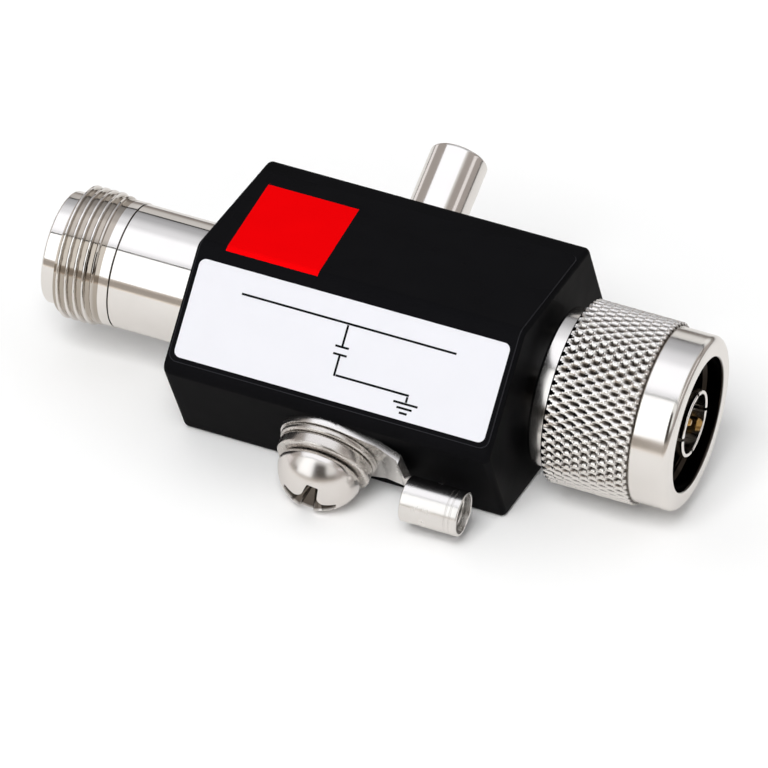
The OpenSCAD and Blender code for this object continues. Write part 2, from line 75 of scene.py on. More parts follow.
# Label: a film bent over the top front edge, and the fields printed on it
FILM_T = 0.15
INK_T = 0.02
INK_TOP = FILM_T + INK_T
FILM_LEN = 39.0
FILM_BACK = 2.8
FILM_DROP = 13.8
FILM_CORNER_R = 1.0
FILM_EDGE = 0.1
PANEL_HALF_LEN = 19.0
PANEL_TOP = 1.7
PANEL_DROP = 13.3
PANEL_CORNER_R = 0.8
FIELD_LEFT = -17.05
FIELD_RIGHT = -5.75
FIELD_BACK = 4.8
FIELD_SLANT = 0.62
FIELD_OVER = 0.62

# Jack, along its own axis from the housing's left end
BARREL_D = 14.8
BARREL_LEN = 11.5
GROOVE_W = 0.3
GROOVE_DEPTH = 0.3
GROOVE_SEEN_W = 0.12
BAND_D = 15.0
BAND_LEN = 1.2
THREAD_D = 15.8
THREAD_LEN = 5.6
RIM_D = 13.4
RIM_LEN = 1.9
MOUTH_D = 8.16
MOUTH_DEPTH = 9.0
LINE_BORE_D = 7.0
COUPLING_PITCH = 1.058
COUPLING_DEPTH = 0.42
THREAD_BEVEL = 0.3
THREAD_ROW = 0.035
JACK_COLUMNS = 192
BAND_START = BARREL_LEN + GROOVE_W
THREAD_START = BAND_START + BAND_LEN
RIM_START = THREAD_START + THREAD_LEN
JACK_LEN = RIM_START + RIM_LEN

# Plug and coupling nut, along their own axis from the housing's right end
NUT_GAP = 1.1
COLLAR_LEN = 2.1
COLLAR_D = 18.8
KNURL_LEN = 10.6
KNURL_D = 21.66
KNURL_DEPTH = 0.45
KNURL_COUNT = 58
KNURL_ROWS = 5
KNURL_STEPS = 8
RIDGE_POWER = 0.75
FRONT_LEN = 4.6
FRONT_D = 20.7
FRONT_R = 0.9
NUT_LIP_LEN = 3.2
NUT_BORE_D = 15.1
NUT_MOUTH_D = 15.9
NUT_MOUTH_LEN = 2.0
KNURL_START = NUT_GAP + COLLAR_LEN
FRONT_START = KNURL_START + KNURL_LEN
NUT_END = FRONT_START + FRONT_LEN
NUT_LIP_END = NUT_GAP + NUT_LIP_LEN
NECK_D = 13.0
RING_GROOVE = 0.5
RING_GROOVE_W = 0.95
RING_PLAY = 0.1
RING_START = NUT_LIP_END + RING_PLAY
NECK_REST_LEN = 3.85
NECK_END = RING_START + NECK_REST_LEN
SLEEVE_D = 8.0
SLEEVE_SETBACK = 0.4
SLEEVE_END = NUT_END - SLEEVE_SETBACK
SLEEVE_SLOT_LEN = 5.5
SLOT_W = 0.4
PIN_D = 1.62
PIN_SETBACK = 0.5
PIN_TIP = SLEEVE_END - PIN_SETBACK
PIN_LEN = 4.8
PIN_TAPER = 1.0
CONTACT_D = 3.04
SPIGOT_D = 1.8
SPIGOT_LEN = 2.0

# Gas tube cap, along its own axis from the line
CAP_D = 7.0
CAP_HEIGHT = 8.5
CAP_EDGE_R = 0.5
CAP_NECK_D = 6.0
CAP_NECK_LEN = 5.0
CAP_CAVITY_D = 4.2
CAP_ROOF_T = 0.9
CAP_PITCH = 0.75
CAP_THREAD_DEPTH = 0.35
CAP_RUN_OUT = 0.6

# Earth terminal, along the screw's axis from the lower front face
SCREW_UP = 0.6
SCREW_D = 6.0
SCREW_LEN = 11.5
SCREW_PITCH = 1.0
SCREW_THREAD_DEPTH = 0.55
SCREW_POINT = 0.6
SHANK_PLAIN = 0.3
HEAD_D = 9.8
HEAD_H = 5.0
HEAD_RIM = 1.2
RECESS_SPAN = 6.4
RECESS_FLOOR = 2.0
RECESS_DEPTH = 2.8
RECESS_W = 1.4
RECESS_TURN = math.radians(-15)
RECESS_OVER = 0.3
RECESS_EASE = 0.06
LUG_T = 0.8
LUG_RING_D = 12.0
TONGUE_W = 6.6
TONGUE_LEN = 9.2
TONGUE_LIFT = 0.6
ROOT_HALF = 1.2
ROOT_LIFT = 0.4
BEND_LEN = 1.5
CRIMP_D = 5.0
CRIMP_BORE_D = 4.0
CRIMP_LEN = 7.0
CRIMP_LIFT = 1.6
BARREL_SEEN_D = 5.3
SEAM_TURN = math.radians(-20)
SEAM_HALF = math.radians(2.5)
SEAM_LEN = 1.6
SEAM_DEPTH = 0.15
BARREL_RINGS = (1.55, 1.0)
BARREL_RING_DEPTH = 0.08
BARREL_STEP_LEN = 0.9
BARREL_COLUMNS = 192
FLAT_WASHER_D = 11.6
FLAT_WASHER_T = 0.8
SPRING_WASHER_D = 11.2
SPRING_WASHER_T = 1.7
SPRING_WASHER_SLIT = 1.2
SLIT_ANGLE = math.radians(-37)
SLIT_SLANT = math.radians(20)
WASHER_HOLE_D = 6.4
FLAT_WASHER_BASE = SEAT_GAP + LUG_T + SEAT_GAP
SPRING_WASHER_BASE = FLAT_WASHER_BASE + FLAT_WASHER_T
SPRING_WASHER_TOP = SPRING_WASHER_BASE + SPRING_WASHER_T
HEAD_BASE = SPRING_WASHER_TOP + SEAT_GAP
DOME_H = HEAD_H - HEAD_RIM
DOME_R = (HEAD_D ** 2 / 4 + DOME_H ** 2) / (2 * DOME_H)

# Shares of a thread's pitch that its flat crest and its two flanks take
CREST_SHARE = 0.12
FLANK_SHARE = 0.45

# Points on a rounded corner, and columns round a turned piece
ARC_STEPS = 8
COLUMNS = 128

# What counts as the same place, in millimetres
SAME = 1e-6


# Local frames: Z is the axis of the piece that is placed

def frame_from(origin, axis_x, axis_z):
    """Matrix of a local frame in millimetres."""
    x, z = Vector(axis_x).normalized(), Vector(axis_z).normalized()
    turn = Matrix((x, z.cross(x), z)).transposed().to_4x4()
    return Matrix.Translation(Vector(origin)) @ turn


TILT_C, TILT_S = math.cos(FACE_TILT), math.sin(FACE_TILT)
AT_LINE = frame_from((0, 0, LINE_Z), (0, 1, 0), (1, 0, 0))
AT_JACK = frame_from((-HALF_LEN, 0, LINE_Z), (0, -1, 0), (-1, 0, 0))
AT_PLUG = frame_from((HALF_LEN, 0, LINE_Z), (0, 1, 0), (1, 0, 0))
AT_CAP = frame_from((0, 0, LINE_Z), (1, 0, 0), (0, TILT_C, TILT_S))
LOWER_FACE_MIDDLE = Vector((0, -(BODY_WIDTH + BODY_FLAT) / 4, LINE_Z / 2))
SCREW_FOOT = LOWER_FACE_MIDDLE + SCREW_UP * Vector((0, -TILT_S, TILT_C))
AT_SCREW = frame_from(SCREW_FOOT, (1, 0, 0), (0, -TILT_C, -TILT_S))


# Materials

def srgb(code):
    """Linear colour of an sRGB hex value."""
    parts = [int(code[i:i + 2], 16) / 255 for i in (1, 3, 5)]
    return [p / 12.92 if p <= 0.04045 else ((p + 0.055) / 1.055) ** 2.4 for p in parts] + [1.0]


def add(tree, kind, inputs=None, **settings):
    """Adds a node with its settings, and sets or links its inputs."""
    made = tree.nodes.new(kind)
    for name, value in settings.items():
        setattr(made, name, value)
    for socket, value in (inputs or {}).items():
        if isinstance(value, bpy.types.NodeSocket):
            tree.links.new(value, made.inputs[socket])
        else:
            made.inputs[socket].default_value = value
    return made


def per_metre(size):
    """Texture scale at which one feature is size millimetres across."""
    return 1 / (size * MM)


def noise(tree, place, size, detail):
    """Noise whose features are size millimetres across."""
    inputs = {"Vector": place, "Scale": per_metre(size), "Detail": detail}
    return add(tree, "ShaderNodeTexNoise", inputs).outputs["Fac"]


def blend(tree, share, first, second):
    """Colour that goes from the first to the second as the share rises."""
    inputs = {"Factor": share, 6: first, 7: second}
    return add(tree, "ShaderNodeMix", inputs, data_type="RGBA").outputs[2]


def calc(tree, operation, *values):
    """Result of an operation on numbers or sockets."""
    return add(tree, "ShaderNodeMath", dict(enumerate(values)), operation=operation).outputs[0]


def vector_calc(tree, operation, *values):
    """Result of an operation on vectors: a vector, or the number that some operations give."""
    made = add(tree, "ShaderNodeVectorMath", dict(enumerate(values)), operation=operation)
    return made.outputs["Value" if operation in ("DOT_PRODUCT", "LENGTH", "DISTANCE") else "Vector"]


def ramp(tree, value, start, end, low=0.0, high=1.0, shape="LINEAR"):
    """Goes from low to high while the value goes from start to end."""
    inputs = {"Value": value, "From Min": start, "From Max": end, "To Min": low, "To Max": high}
    return add(tree, "ShaderNodeMapRange", inputs, interpolation_type=shape).outputs["Result"]


def surface(name, inputs):
    """A new material with its Principled shader set, its node tree and its object coordinates."""
    made = bpy.data.materials.new(name)
    made.use_nodes = True
    tree = made.node_tree
    shader = tree.nodes["Principled BSDF"]
    for socket, value in inputs.items():
        shader.inputs[socket].default_value = value
    place = add(tree, "ShaderNodeTexCoord").outputs["Object"]
    return made, tree, shader, place


def finish_surface(tree, shader, tone, height, depth, grain, rough_low, rough_high):
    """Gives a shader its colour, a bump of that depth from a height, and a roughness that follows a grain."""
    bump = add(tree, "ShaderNodeBump", {"Height": height, "Distance": depth * MM, "Strength": 1.0})
    rough = ramp(tree, grain, NOISE_LOW, NOISE_HIGH, rough_low, rough_high)
    tree.links.new(tone, shader.inputs["Base Color"])
    tree.links.new(bump.outputs["Normal"], shader.inputs["Normal"])
    tree.links.new(rough, shader.inputs["Roughness"])


# Noise lies mostly between these two values
NOISE_LOW = 0.3
NOISE_HIGH = 0.7
# The real lathe rings are about 0.05 mm apart, and are drawn wider to show
LATHE_RING = 0.25


def bright_nickel(name, axis, rough_low, rough_high, painted_shade=()):
    """Nickel plated over turned brass: a warm mirror, with the lathe's fine rings just left in it.

    Each row of the last argument gives a stretch (start and end along X, low and high radius from the line,
    colour):
    the colour is painted shade, laid on fully at the low radius, in the roots of teeth or in a bore, and not
    at the high one.
    """
    made, tree, shader, place = surface(name, {"Metallic": 1.0})
    along = vector_calc(tree, "DOT_PRODUCT", place, axis)
    rings = add(tree, "ShaderNodeTexNoise", {"W": along, "Scale": per_metre(LATHE_RING), "Detail": 2.0},
                noise_dimensions="1D").outputs["Fac"]
    haze = noise(tree, place, 3.0, 3.0)
    tone = blend(tree, haze, srgb("#e8e6e3"), srgb("#f1efed"))
    across = vector_calc(tree, "SUBTRACT", place, (0, 0, LINE_Z * MM))
    radius = vector_calc(tree, "LENGTH", vector_calc(tree, "MULTIPLY", across, (0, 1, 1)))
    for start, end, low, high, colour in painted_shade:
        # Painted shade: the stretch's colour is strongest at the low radius and gone at the high one
        inside = calc(tree, "COMPARE", along, (start + end) / 2 * MM, abs(end - start) / 2 * MM)
        shade_share = ramp(tree, radius, low * MM, high * MM, 1.0, 0.0)
        tone = blend(tree, calc(tree, "MULTIPLY", inside, shade_share), tone, srgb(colour))
    finish_surface(tree, shader, tone, rings, 0.0008, haze, rough_low, rough_high)
    return made


def plated_steel(name, light, dark, rough_low, rough_high):
    """Steel hardware, stamped or headed and then plated: bright, with faint mottling and fine pits."""
    made, tree, shader, place = surface(name, {"Metallic": 1.0})
    mottle = noise(tree, place, 1.2, 4.0)
    pits = noise(tree, place, 0.6, 2.0)
    tone = blend(tree, mottle, srgb(dark), srgb(light))
    finish_surface(tree, shader, tone, pits, 0.0006, mottle, rough_low, rough_high)
    return made


def headed_steel():
    """A plated screw: the satin of a headed dome, with painted shade in the recess."""
    made = plated_steel("nickel_plated_screw", "#ebe8e6", "#e3e0dd", 0.22, 0.26)
    tree = made.node_tree
    shader = tree.nodes["Principled BSDF"]
    tone = shader.inputs["Base Color"].links[0].from_socket
    place = add(tree, "ShaderNodeTexCoord").outputs["Object"]
    from_foot = vector_calc(tree, "SUBTRACT", place, AT_SCREW.translation * MM)
    height = vector_calc(tree, "DOT_PRODUCT", from_foot, AT_SCREW.col[2].to_3d())
    in_head = calc(tree, "GREATER_THAN", height, (HEAD_BASE + HEAD_RIM) * MM)
    # The recess is what lies under the dome's sphere
    middle = AT_SCREW @ Vector((0, 0, HEAD_BASE + HEAD_H - DOME_R)) * MM
    reach = vector_calc(tree, "DISTANCE", place, middle)
    shade_share = ramp(tree, reach, (DOME_R - 0.3) * MM, (DOME_R - 0.03) * MM, 1.0, 0.0)
    # Painted shade in the recess, darker the deeper a point lies below the dome
    tone = blend(tree, calc(tree, "MULTIPLY", in_head, shade_share), tone, srgb("#6a635c"))
    tree.links.new(tone, shader.inputs["Base Color"])
    return made


def black_paint():
    """Aluminium sprayed with black enamel: deep satin black, with the fine orange peel of sprayed paint."""
    made, tree, shader, place = surface("black_enamel", {"Specular IOR Level": 0.006})
    peel = noise(tree, place, 0.5, 3.0)
    cloud = noise(tree, place, 6.0, 3.0)
    tone = blend(tree, cloud, srgb("#0d0d0e"), srgb("#121214"))
    finish_surface(tree, shader, tone, peel, 0.004, cloud, 0.32, 0.42)
    return made


def printed_film(name, light, dark, rough, gloss):
    """Polyester label film and the ink screened on it: an even colour with a soft gloss and a faint grain."""
    made, tree, shader, place = surface(name, {"Specular IOR Level": gloss})
    grain = noise(tree, place, 0.35, 2.0)
    cloud = noise(tree, place, 5.0, 2.0)
    tone = blend(tree, cloud, srgb(dark), srgb(light))
    finish_surface(tree, shader, tone, grain, 0.001, cloud, rough - 0.05, rough + 0.05)
    return made


def plain_solid(name, light, dark, metallic, rough, grain_size):
    """An inner piece in its plain material: two close tones, and a grain of the size that it has."""
    made, tree, shader, place = surface(name, {"Metallic": metallic})
    grain = noise(tree, place, grain_size, 3.0)
    tone = blend(tree, grain, srgb(dark), srgb(light))
    finish_surface(tree, shader, tone, grain, 0.002, grain, rough - 0.04, rough + 0.06)
    return made


# Colours of painted shade: in the jack's thread roots and groove, the knurl's pits and the nut's bore
THREAD_ROOT_SHADE = "#b3aba1"
KNURL_PIT_SHADE = "#524c46"
GROOVE_SHADE = "#8a837b"
BORE_SHADE = "#2a2520"
THREAD_R, BARREL_R, KNURL_R, NUT_MOUTH_R = THREAD_D / 2, BARREL_D / 2, KNURL_D / 2, NUT_MOUTH_D / 2
# Painted shade in the thread's roots and in the groove before the band
NICKEL_LINE = bright_nickel("bright_nickel_on_line", (1, 0, 0), 0.06, 0.1, [
    (-HALF_LEN - RIM_START, -HALF_LEN - THREAD_START, THREAD_R - COUPLING_DEPTH, THREAD_R - 0.1, THREAD_ROOT_SHADE),
    (-HALF_LEN - BAND_START, -HALF_LEN - BARREL_LEN, BARREL_R - 0.1, BARREL_R - 0.02, GROOVE_SHADE)])
# Painted shade in the knurl's pits and in the nut's mouth and bore
NICKEL_NUT = bright_nickel("bright_nickel_on_nut", (1, 0, 0), 0.12, 0.18, [
    (HALF_LEN + KNURL_START, HALF_LEN + FRONT_START, KNURL_R - 0.28, KNURL_R - 0.12, KNURL_PIT_SHADE),
    (HALF_LEN, HALF_LEN + NUT_END, NUT_MOUTH_R + 0.05, NUT_MOUTH_R + 0.2, BORE_SHADE)])
NICKEL_CAP = bright_nickel("bright_nickel_on_cap", (0, TILT_C, TILT_S), 0.1, 0.16)
SCREW_STEEL = headed_steel()
WASHER_STEEL = plated_steel("zinc_plated_steel", "#d9d6d2", "#d0ccc8", 0.24, 0.3)
LUG_TIN = plated_steel("tinned_copper", "#ecebe9", "#e6e4e2", 0.22, 0.28)
ENAMEL = black_paint()
FILM = printed_film("black_film", "#101012", "#0d0d0f", 0.3, 0.01)
# Painted highlight: a lighter grey for the film's edge catching the light
FILM_EDGE_HIGHLIGHT = printed_film("film_edge_painted_highlight", "#2e2e31", "#28282b", 0.4, 0.02)
WHITE_INK = printed_film("white_ink", "#dbdbe0", "#d8d8dd", 0.4, 0.1)
RED_INK = printed_film("red_ink", "#ec0308", "#e40207", 0.4, 0.0)
BLACK_INK = printed_film("black_ink", "#141416", "#0e0e10", 0.4, 0.05)
GOLD = plain_solid("gold_plate", "#bd9a60", "#a8854c", 1.0, 0.22, 0.8)
SILVER = plain_solid("silver_plate", "#e4e0d4", "#d2cbb8", 1.0, 0.18, 0.8)
COPPER = plain_solid("copper", "#c98f6b", "#b57653", 1.0, 0.26, 0.6)
SPRING_STEEL = plain_solid("spring_steel", "#b6b8ba", "#9a9c9f", 1.0, 0.22, 0.3)
PTFE = plain_solid("ptfe", "#f2f0ea", "#e8e5dc", 0.0, 0.45, 1.0)
CERAMIC = plain_solid("alumina", "#efe9dd", "#e6dfd0", 0.0, 0.35, 0.3)
RUBBER = plain_solid("silicone_rubber", "#c02a20", "#a51e16", 0.0, 0.5, 0.4)


# Outlines and meshes

def rounded(corners, closed=True):
    """Points of an outline through corners (u, v, fillet radius), with an arc at each filleted corner."""
    points = []
    for i, (u, v, fillet) in enumerate(corners):
        here = Vector((u, v))
        at_end = not closed and i in (0, len(corners) - 1)
        if not fillet or at_end:
            points.append((u, v))
            continue
        before = (Vector(corners[i - 1][:2]) - here).normalized()
        after = (Vector(corners[(i + 1) % len(corners)][:2]) - here).normalized()
        half = before.angle(after) / 2
        middle = here + (before + after).normalized() * (fillet / math.sin(half))
        start = here + before * (fillet / math.tan(half)) - middle
        end = here + after * (fillet / math.tan(half)) - middle
        sweep = math.atan2(start.x * end.y - start.y * end.x, start.dot(end))
        for k in range(ARC_STEPS + 1):
            c, s = math.cos(sweep * k / ARC_STEPS), math.sin(sweep * k / ARC_STEPS)
            points.append((middle.x + start.x * c - start.y * s, middle.y + start.x * s + start.y * c))
    return points


def dense(outline, low, high, step):
    """The outline with extra points on its straight runs between two places along the axis."""
    points = []
    for (a, r), (b, q) in zip(outline, outline[1:] + outline[:1]):
        points.append((a, r))
        inside = low - SAME <= min(a, b) and max(a, b) <= high + SAME
        extra = int(abs(b - a) / step) if inside else 0
        for k in range(1, extra + 1):
            points.append((a + (b - a) * k / (extra + 1), r + (q - r) * k / (extra + 1)))
    return points


def mesh_from(points, faces, place):
    """A mesh in metres from points in a local frame, with its faces turned outwards."""
    matrix = np.array(place)
    world = (np.asarray(points, float) @ matrix[:3, :3].T + matrix[:3, 3]) * MM
    made = bpy.data.meshes.new("mesh")
    made.from_pydata(world.tolist(), [], faces)
    shape = bmesh.new()
    shape.from_mesh(made)
    bmesh.ops.remove_doubles(shape, verts=shape.verts, dist=1e-7)
    bmesh.ops.recalc_face_normals(shape, faces=shape.faces)
    shape.to_mesh(made)
    shape.free()
    return made


def turned(outline, place, columns=COLUMNS, closed=True, cut=None):
    """Mesh of a turned piece. An open outline starts and ends on the axis. cut gives the depth to remove."""
    along, radius = (np.repeat(v[:, None], columns, 1) for v in np.array(outline, float).T)
    turn = np.arange(columns) * TAU / columns
    if cut:
        radius = radius - cut(along, turn[None, :], radius)
    points = np.stack((radius * np.cos(turn), radius * np.sin(turn), along), -1).reshape(-1, 3)
    rows = len(outline)
    faces = []
    for i in range(rows if closed else rows - 1):
        for j in range(columns):
            k = (j + 1) % columns
            low, high = i * columns, (i + 1) % rows * columns
            corners = [low + j, low + k, high + k, high + j]
            if not closed and i == 0:
                corners = [j, high + k, high + j]
            elif not closed and i == rows - 2:
                corners = [low + j, low + k, high]
            faces.append(corners)
    if not closed:
        last = (rows - 1) * columns
        faces = [[0 if index < columns else min(index, last) for index in face] for face in faces]
    return mesh_from(points, faces, place)


def prism(outline, low, high, place, top_scale=1.0):
    """Mesh of an outline raised from low to high, and scaled at its top."""
    count = len(outline)
    points = [(u, v, low) for u, v in outline]
    points += [(u * top_scale, v * top_scale, high) for u, v in outline]
    faces = [list(range(count))[::-1], list(range(count, 2 * count))]
    faces += [[i, (i + 1) % count, count + (i + 1) % count, count + i] for i in range(count)]
    return mesh_from(points, faces, place)


def new_object(name, data):
    """A new object in the scene."""
    made = bpy.data.objects.new(name, data)
    bpy.context.scene.collection.objects.link(made)
    return made


def evaluated_mesh(holder):
    """A new mesh with the object's modifiers applied."""
    bpy.context.view_layer.update()
    return bpy.data.meshes.new_from_object(holder.evaluated_get(bpy.context.evaluated_depsgraph_get()))


def piece(name, mesh, material, body, replaces=(), sharp=32):
    """An object of that mesh, smooth up to the sharp angle, riding on a body."""
    made = new_object(name, mesh)
    mesh.materials.clear()
    mesh.materials.append(material)
    mesh.shade_smooth()
    mesh.set_sharp_from_angle(angle=math.radians(sharp))
    # Normals weighted by face area keep flat faces flat up to their rounded edges
    weigh = made.modifiers.new("weigh", "WEIGHTED_NORMAL")
    weigh.keep_sharp = True
    made.data = evaluated_mesh(made)
    made.modifiers.clear()
    bpy.data.meshes.remove(mesh)
    made.data.name = name
    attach(made, body)
    if replaces:
        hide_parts(*replaces)


def combined(base, operation, *others, bevel=0.0):
    """The base mesh cut by or limited to the other meshes, with its sharp edges eased by a small bevel."""
    holder = new_object("base", base)
    tools = []
    for other in others:
        tool = new_object("tool", other)
        tools.append(tool)
        step = holder.modifiers.new("combine", "BOOLEAN")
        step.operation = operation
        step.solver = "EXACT"
        step.object = tool
    if bevel:
        ease = holder.modifiers.new("ease", "BEVEL")
        ease.width = bevel * MM
        ease.segments = 3
        ease.limit_method = "ANGLE"
        ease.angle_limit = math.radians(40)
    result = evaluated_mesh(holder)
    for used in [holder, *tools]:
        bpy.data.objects.remove(used)
    return result


def round_bar(d, low, high, place, columns=96):
    """A plain bar, for cutting holes."""
    return turned([(low, 0), (low, d / 2), (high, d / 2), (high, 0)], place, columns, closed=False)


def smooth_step(value):
    """A soft rise from 0 to 1."""
    held = np.clip(value, 0, 1)
    return held * held * (3 - 2 * held)


def thread_depth(along, turn, start, end, pitch, depth, run_out):
    """Depth of a right-hand thread below its thin crests, which deepens over run_out from its start."""
    phase = (along / pitch - turn / TAU) % 1
    vee = smooth_step((1 - CREST_SHARE - np.abs(2 * phase - 1)) / FLANK_SHARE)
    on_thread = (along > start - SAME) & (along < end + SAME)
    return np.where(on_thread, depth * vee * smooth_step((along - start) / run_out), 0)


# Housing

def corner_middles():
    """Middles of the rounded corners across the line, as (y, z), from the back of the top flat."""
    top_z = LINE_Z - EDGE_R
    top_y = (FACE_DIST - EDGE_R - top_z * TILT_S) / TILT_C
    side_y = (FACE_DIST - EDGE_R) / TILT_C
    return [(top_y, top_z), (-top_y, top_z), (-side_y, 0), (-top_y, -top_z), (top_y, -top_z), (side_y, 0)]


def housing_ring(inset):
    """Points across the line on the housing's skin, moved inwards by inset."""
    quarter = math.pi / 2
    looks = [quarter, 2 * quarter - FACE_TILT, 2 * quarter + FACE_TILT, 3 * quarter,
             4 * quarter - FACE_TILT, 4 * quarter + FACE_TILT, 5 * quarter]
    starts = [FACE_TILT] + looks[:5]
    ring = []
    for (y, z), start, end in zip(corner_middles(), starts, looks):
        for k in range(ARC_STEPS + 1):
            angle = start + (end - start) * k / ARC_STEPS
            ring.append((y + (EDGE_R - inset) * math.cos(angle), z + (EDGE_R - inset) * math.sin(angle)))
    return ring


def housing_mesh():
    """The block with rounded edges, bored for the line, the connectors, the gas tube and the screw."""
    stations = []
    for end in (-1, 1):
        steps = range(ARC_STEPS, -1, -1) if end < 0 else range(ARC_STEPS + 1)
        for k in steps:
            angle = math.pi / 2 * k / ARC_STEPS
            back = END_R * (1 - math.sin(angle))
            stations.append((end * (HALF_LEN - back), END_R * (1 - math.cos(angle))))
    rings = [[(x, y, z + LINE_Z) for y, z in housing_ring(inset)] for x, inset in stations]
    count = len(rings[0])
    points = [point for ring in rings for point in ring]
    faces = [list(range(count)), list(range(len(points) - count, len(points)))]
    for i in range(len(rings) - 1):
        for j in range(count):
            k = (j + 1) % count
            faces.append([i * count + j, i * count + k, (i + 1) * count + k, (i + 1) * count + j])
    block = mesh_from(points, faces, Matrix.Identity(4))
    holes = [round_bar(TAIL_D + 2 * FIT_GAP, -TAIL_LEN, 1, place) for place in (AT_JACK, AT_PLUG)]
    holes.append(round_bar(CAP_NECK_D + 2 * RUN_GAP, FACE_DIST - CAP_NECK_LEN, FACE_DIST + 1, AT_CAP))
    holes.append(round_bar(SCREW_D + 2 * RUN_GAP, 2 - SCREW_LEN, 1, AT_SCREW))
    holes.append(round_bar(HOUSING_BORE_D, -HALF_LEN + TAIL_LEN / 2, HALF_LEN - TAIL_LEN / 2, AT_LINE))
    holes.append(round_bar(TUBE_D + 2 * RUN_GAP, 0, FACE_DIST - CAP_NECK_LEN / 2, AT_CAP))
    return combined(block, "DIFFERENCE", *holes)


piece("housing_block", housing_mesh(), ENAMEL, "housing", ["housing"], sharp=25)


# Label film and print, drawn flat as (u along the line, v down the skin) and bent over the edge

BEND_ANGLE = math.pi / 2 - FACE_TILT
BEND_LEN_ON_SKIN = EDGE_R * BEND_ANGLE
CORNER_TO_BEND = EDGE_R * math.tan(BEND_ANGLE / 2)


def on_skin(u, v, lift):
    """Point over the top front edge: v counts down the skin from the bend's start, lift above the skin."""
    y, z = corner_middles()[1]
    angle = math.pi / 2 + min(max(v / EDGE_R, 0), BEND_ANGLE)
    flat = min(v, 0) + max(v - BEND_LEN_ON_SKIN, 0)
    c, s = math.cos(angle), math.sin(angle)
    return u, y + (EDGE_R + lift) * c - flat * s, LINE_Z + z + (EDGE_R + lift) * s + flat * c


def from_back(y):
    """Place down the skin of a point on the top flat."""
    return corner_middles()[1][0] - y


def below_corner(distance):
    """Place down the skin of a point on the sloping face, counted from the sharp corner."""
    return BEND_LEN_ON_SKIN + distance - CORNER_TO_BEND


def bent_sheet(outline, low, high):
    """A thin sheet on the skin, from lift low to lift high."""
    flat = bmesh.new()
    flat.faces.new([flat.verts.new((u, v, 0)) for u, v in outline])
    for k in range(2 * ARC_STEPS + 1):
        line = BEND_LEN_ON_SKIN * k / (2 * ARC_STEPS)
        everything = flat.verts[:] + flat.edges[:] + flat.faces[:]
        bmesh.ops.bisect_plane(flat, geom=everything, plane_co=(0, line, 0), plane_no=(0, 1, 0))
    raised = bmesh.ops.extrude_face_region(flat, geom=flat.faces[:])
    for vertex in raised["geom"]:
        if isinstance(vertex, bmesh.types.BMVert):
            vertex.co.z = 1
    for vertex in flat.verts:
        u, v, side = vertex.co
        vertex.co = Vector(on_skin(u, v, high if side else low)) * MM
    bmesh.ops.recalc_face_normals(flat, faces=flat.faces)
    made = bpy.data.meshes.new("sheet")
    flat.to_mesh(made)
    flat.free()
    return made


def rectangle(u0, u1, v0, v1, r):
    """Outline of a rectangle with round corners."""
    return rounded([(u0, v0, r), (u1, v0, r), (u1, v1, r), (u0, v1, r)])


def on_label(name, outline, low, high, material, replaces=()):
    """A sheet of the label, as a piece on the housing."""
    piece(name, bent_sheet(outline, low, high), material, "housing", replaces)


film_outline = rectangle(-FILM_LEN / 2, FILM_LEN / 2, from_back(BODY_FLAT / 2 - FILM_BACK),
                         below_corner(FILM_DROP), FILM_CORNER_R)
on_label("label_film_sheet", film_outline, 0.0, FILM_T, FILM, ["label_film"])
# A thin lighter rim just outside the film: a painted highlight along its edge
edge_outline = rectangle(-FILM_LEN / 2 - FILM_EDGE, FILM_LEN / 2 + FILM_EDGE,
                         from_back(BODY_FLAT / 2 - FILM_BACK + FILM_EDGE),
                         below_corner(FILM_DROP + FILM_EDGE), FILM_CORNER_R + FILM_EDGE)
on_label("label_film_edge_highlight", edge_outline, 0.0, FILM_T / 2, FILM_EDGE_HIGHLIGHT)
panel_outline = rectangle(-PANEL_HALF_LEN, PANEL_HALF_LEN, below_corner(PANEL_TOP),
                          below_corner(PANEL_DROP), PANEL_CORNER_R)
on_label("label_white_panel", panel_outline, FILM_T, INK_TOP, WHITE_INK)
field_back, field_front = from_back(FIELD_BACK), BEND_LEN_ON_SKIN * FIELD_OVER
field_outline = [(FIELD_LEFT - FIELD_SLANT, field_back), (FIELD_RIGHT - FIELD_SLANT, field_back),
                 (FIELD_RIGHT + FIELD_SLANT, field_front), (FIELD_LEFT + FIELD_SLANT, field_front)]
on_label("label_red_field", field_outline, FILM_T, INK_TOP, RED_INK)

# Plain diagram on the panel, in distances along the line and below the corner: line, gas tube and earth
SIGN_LINE_W = 0.26
SIGN_LINE_HALF = 13.0
SIGN_LINE_DROP = 4.4
SIGN_TUBE_DROP = 7.6
SIGN_EARTH_DROP = 10.4
SIGN_EARTH_AT = 9.0
SIGN_GAP_HALF = 0.45
SIGN_PLATE_HALF = 0.7
SIGN_BREAK = 0.3
SIGN_BARS = [(11.4, 1.35), (11.95, 0.8), (12.5, 0.35)]


def sign_bar(u0, u1, d0, d1):
    """Outline of a line of the diagram, from one point to another along or across the panel."""
    half = SIGN_LINE_W / 2
    return rectangle(min(u0, u1) - half, max(u0, u1) + half, below_corner(min(d0, d1) - half),
                     below_corner(max(d0, d1) + half), 0)


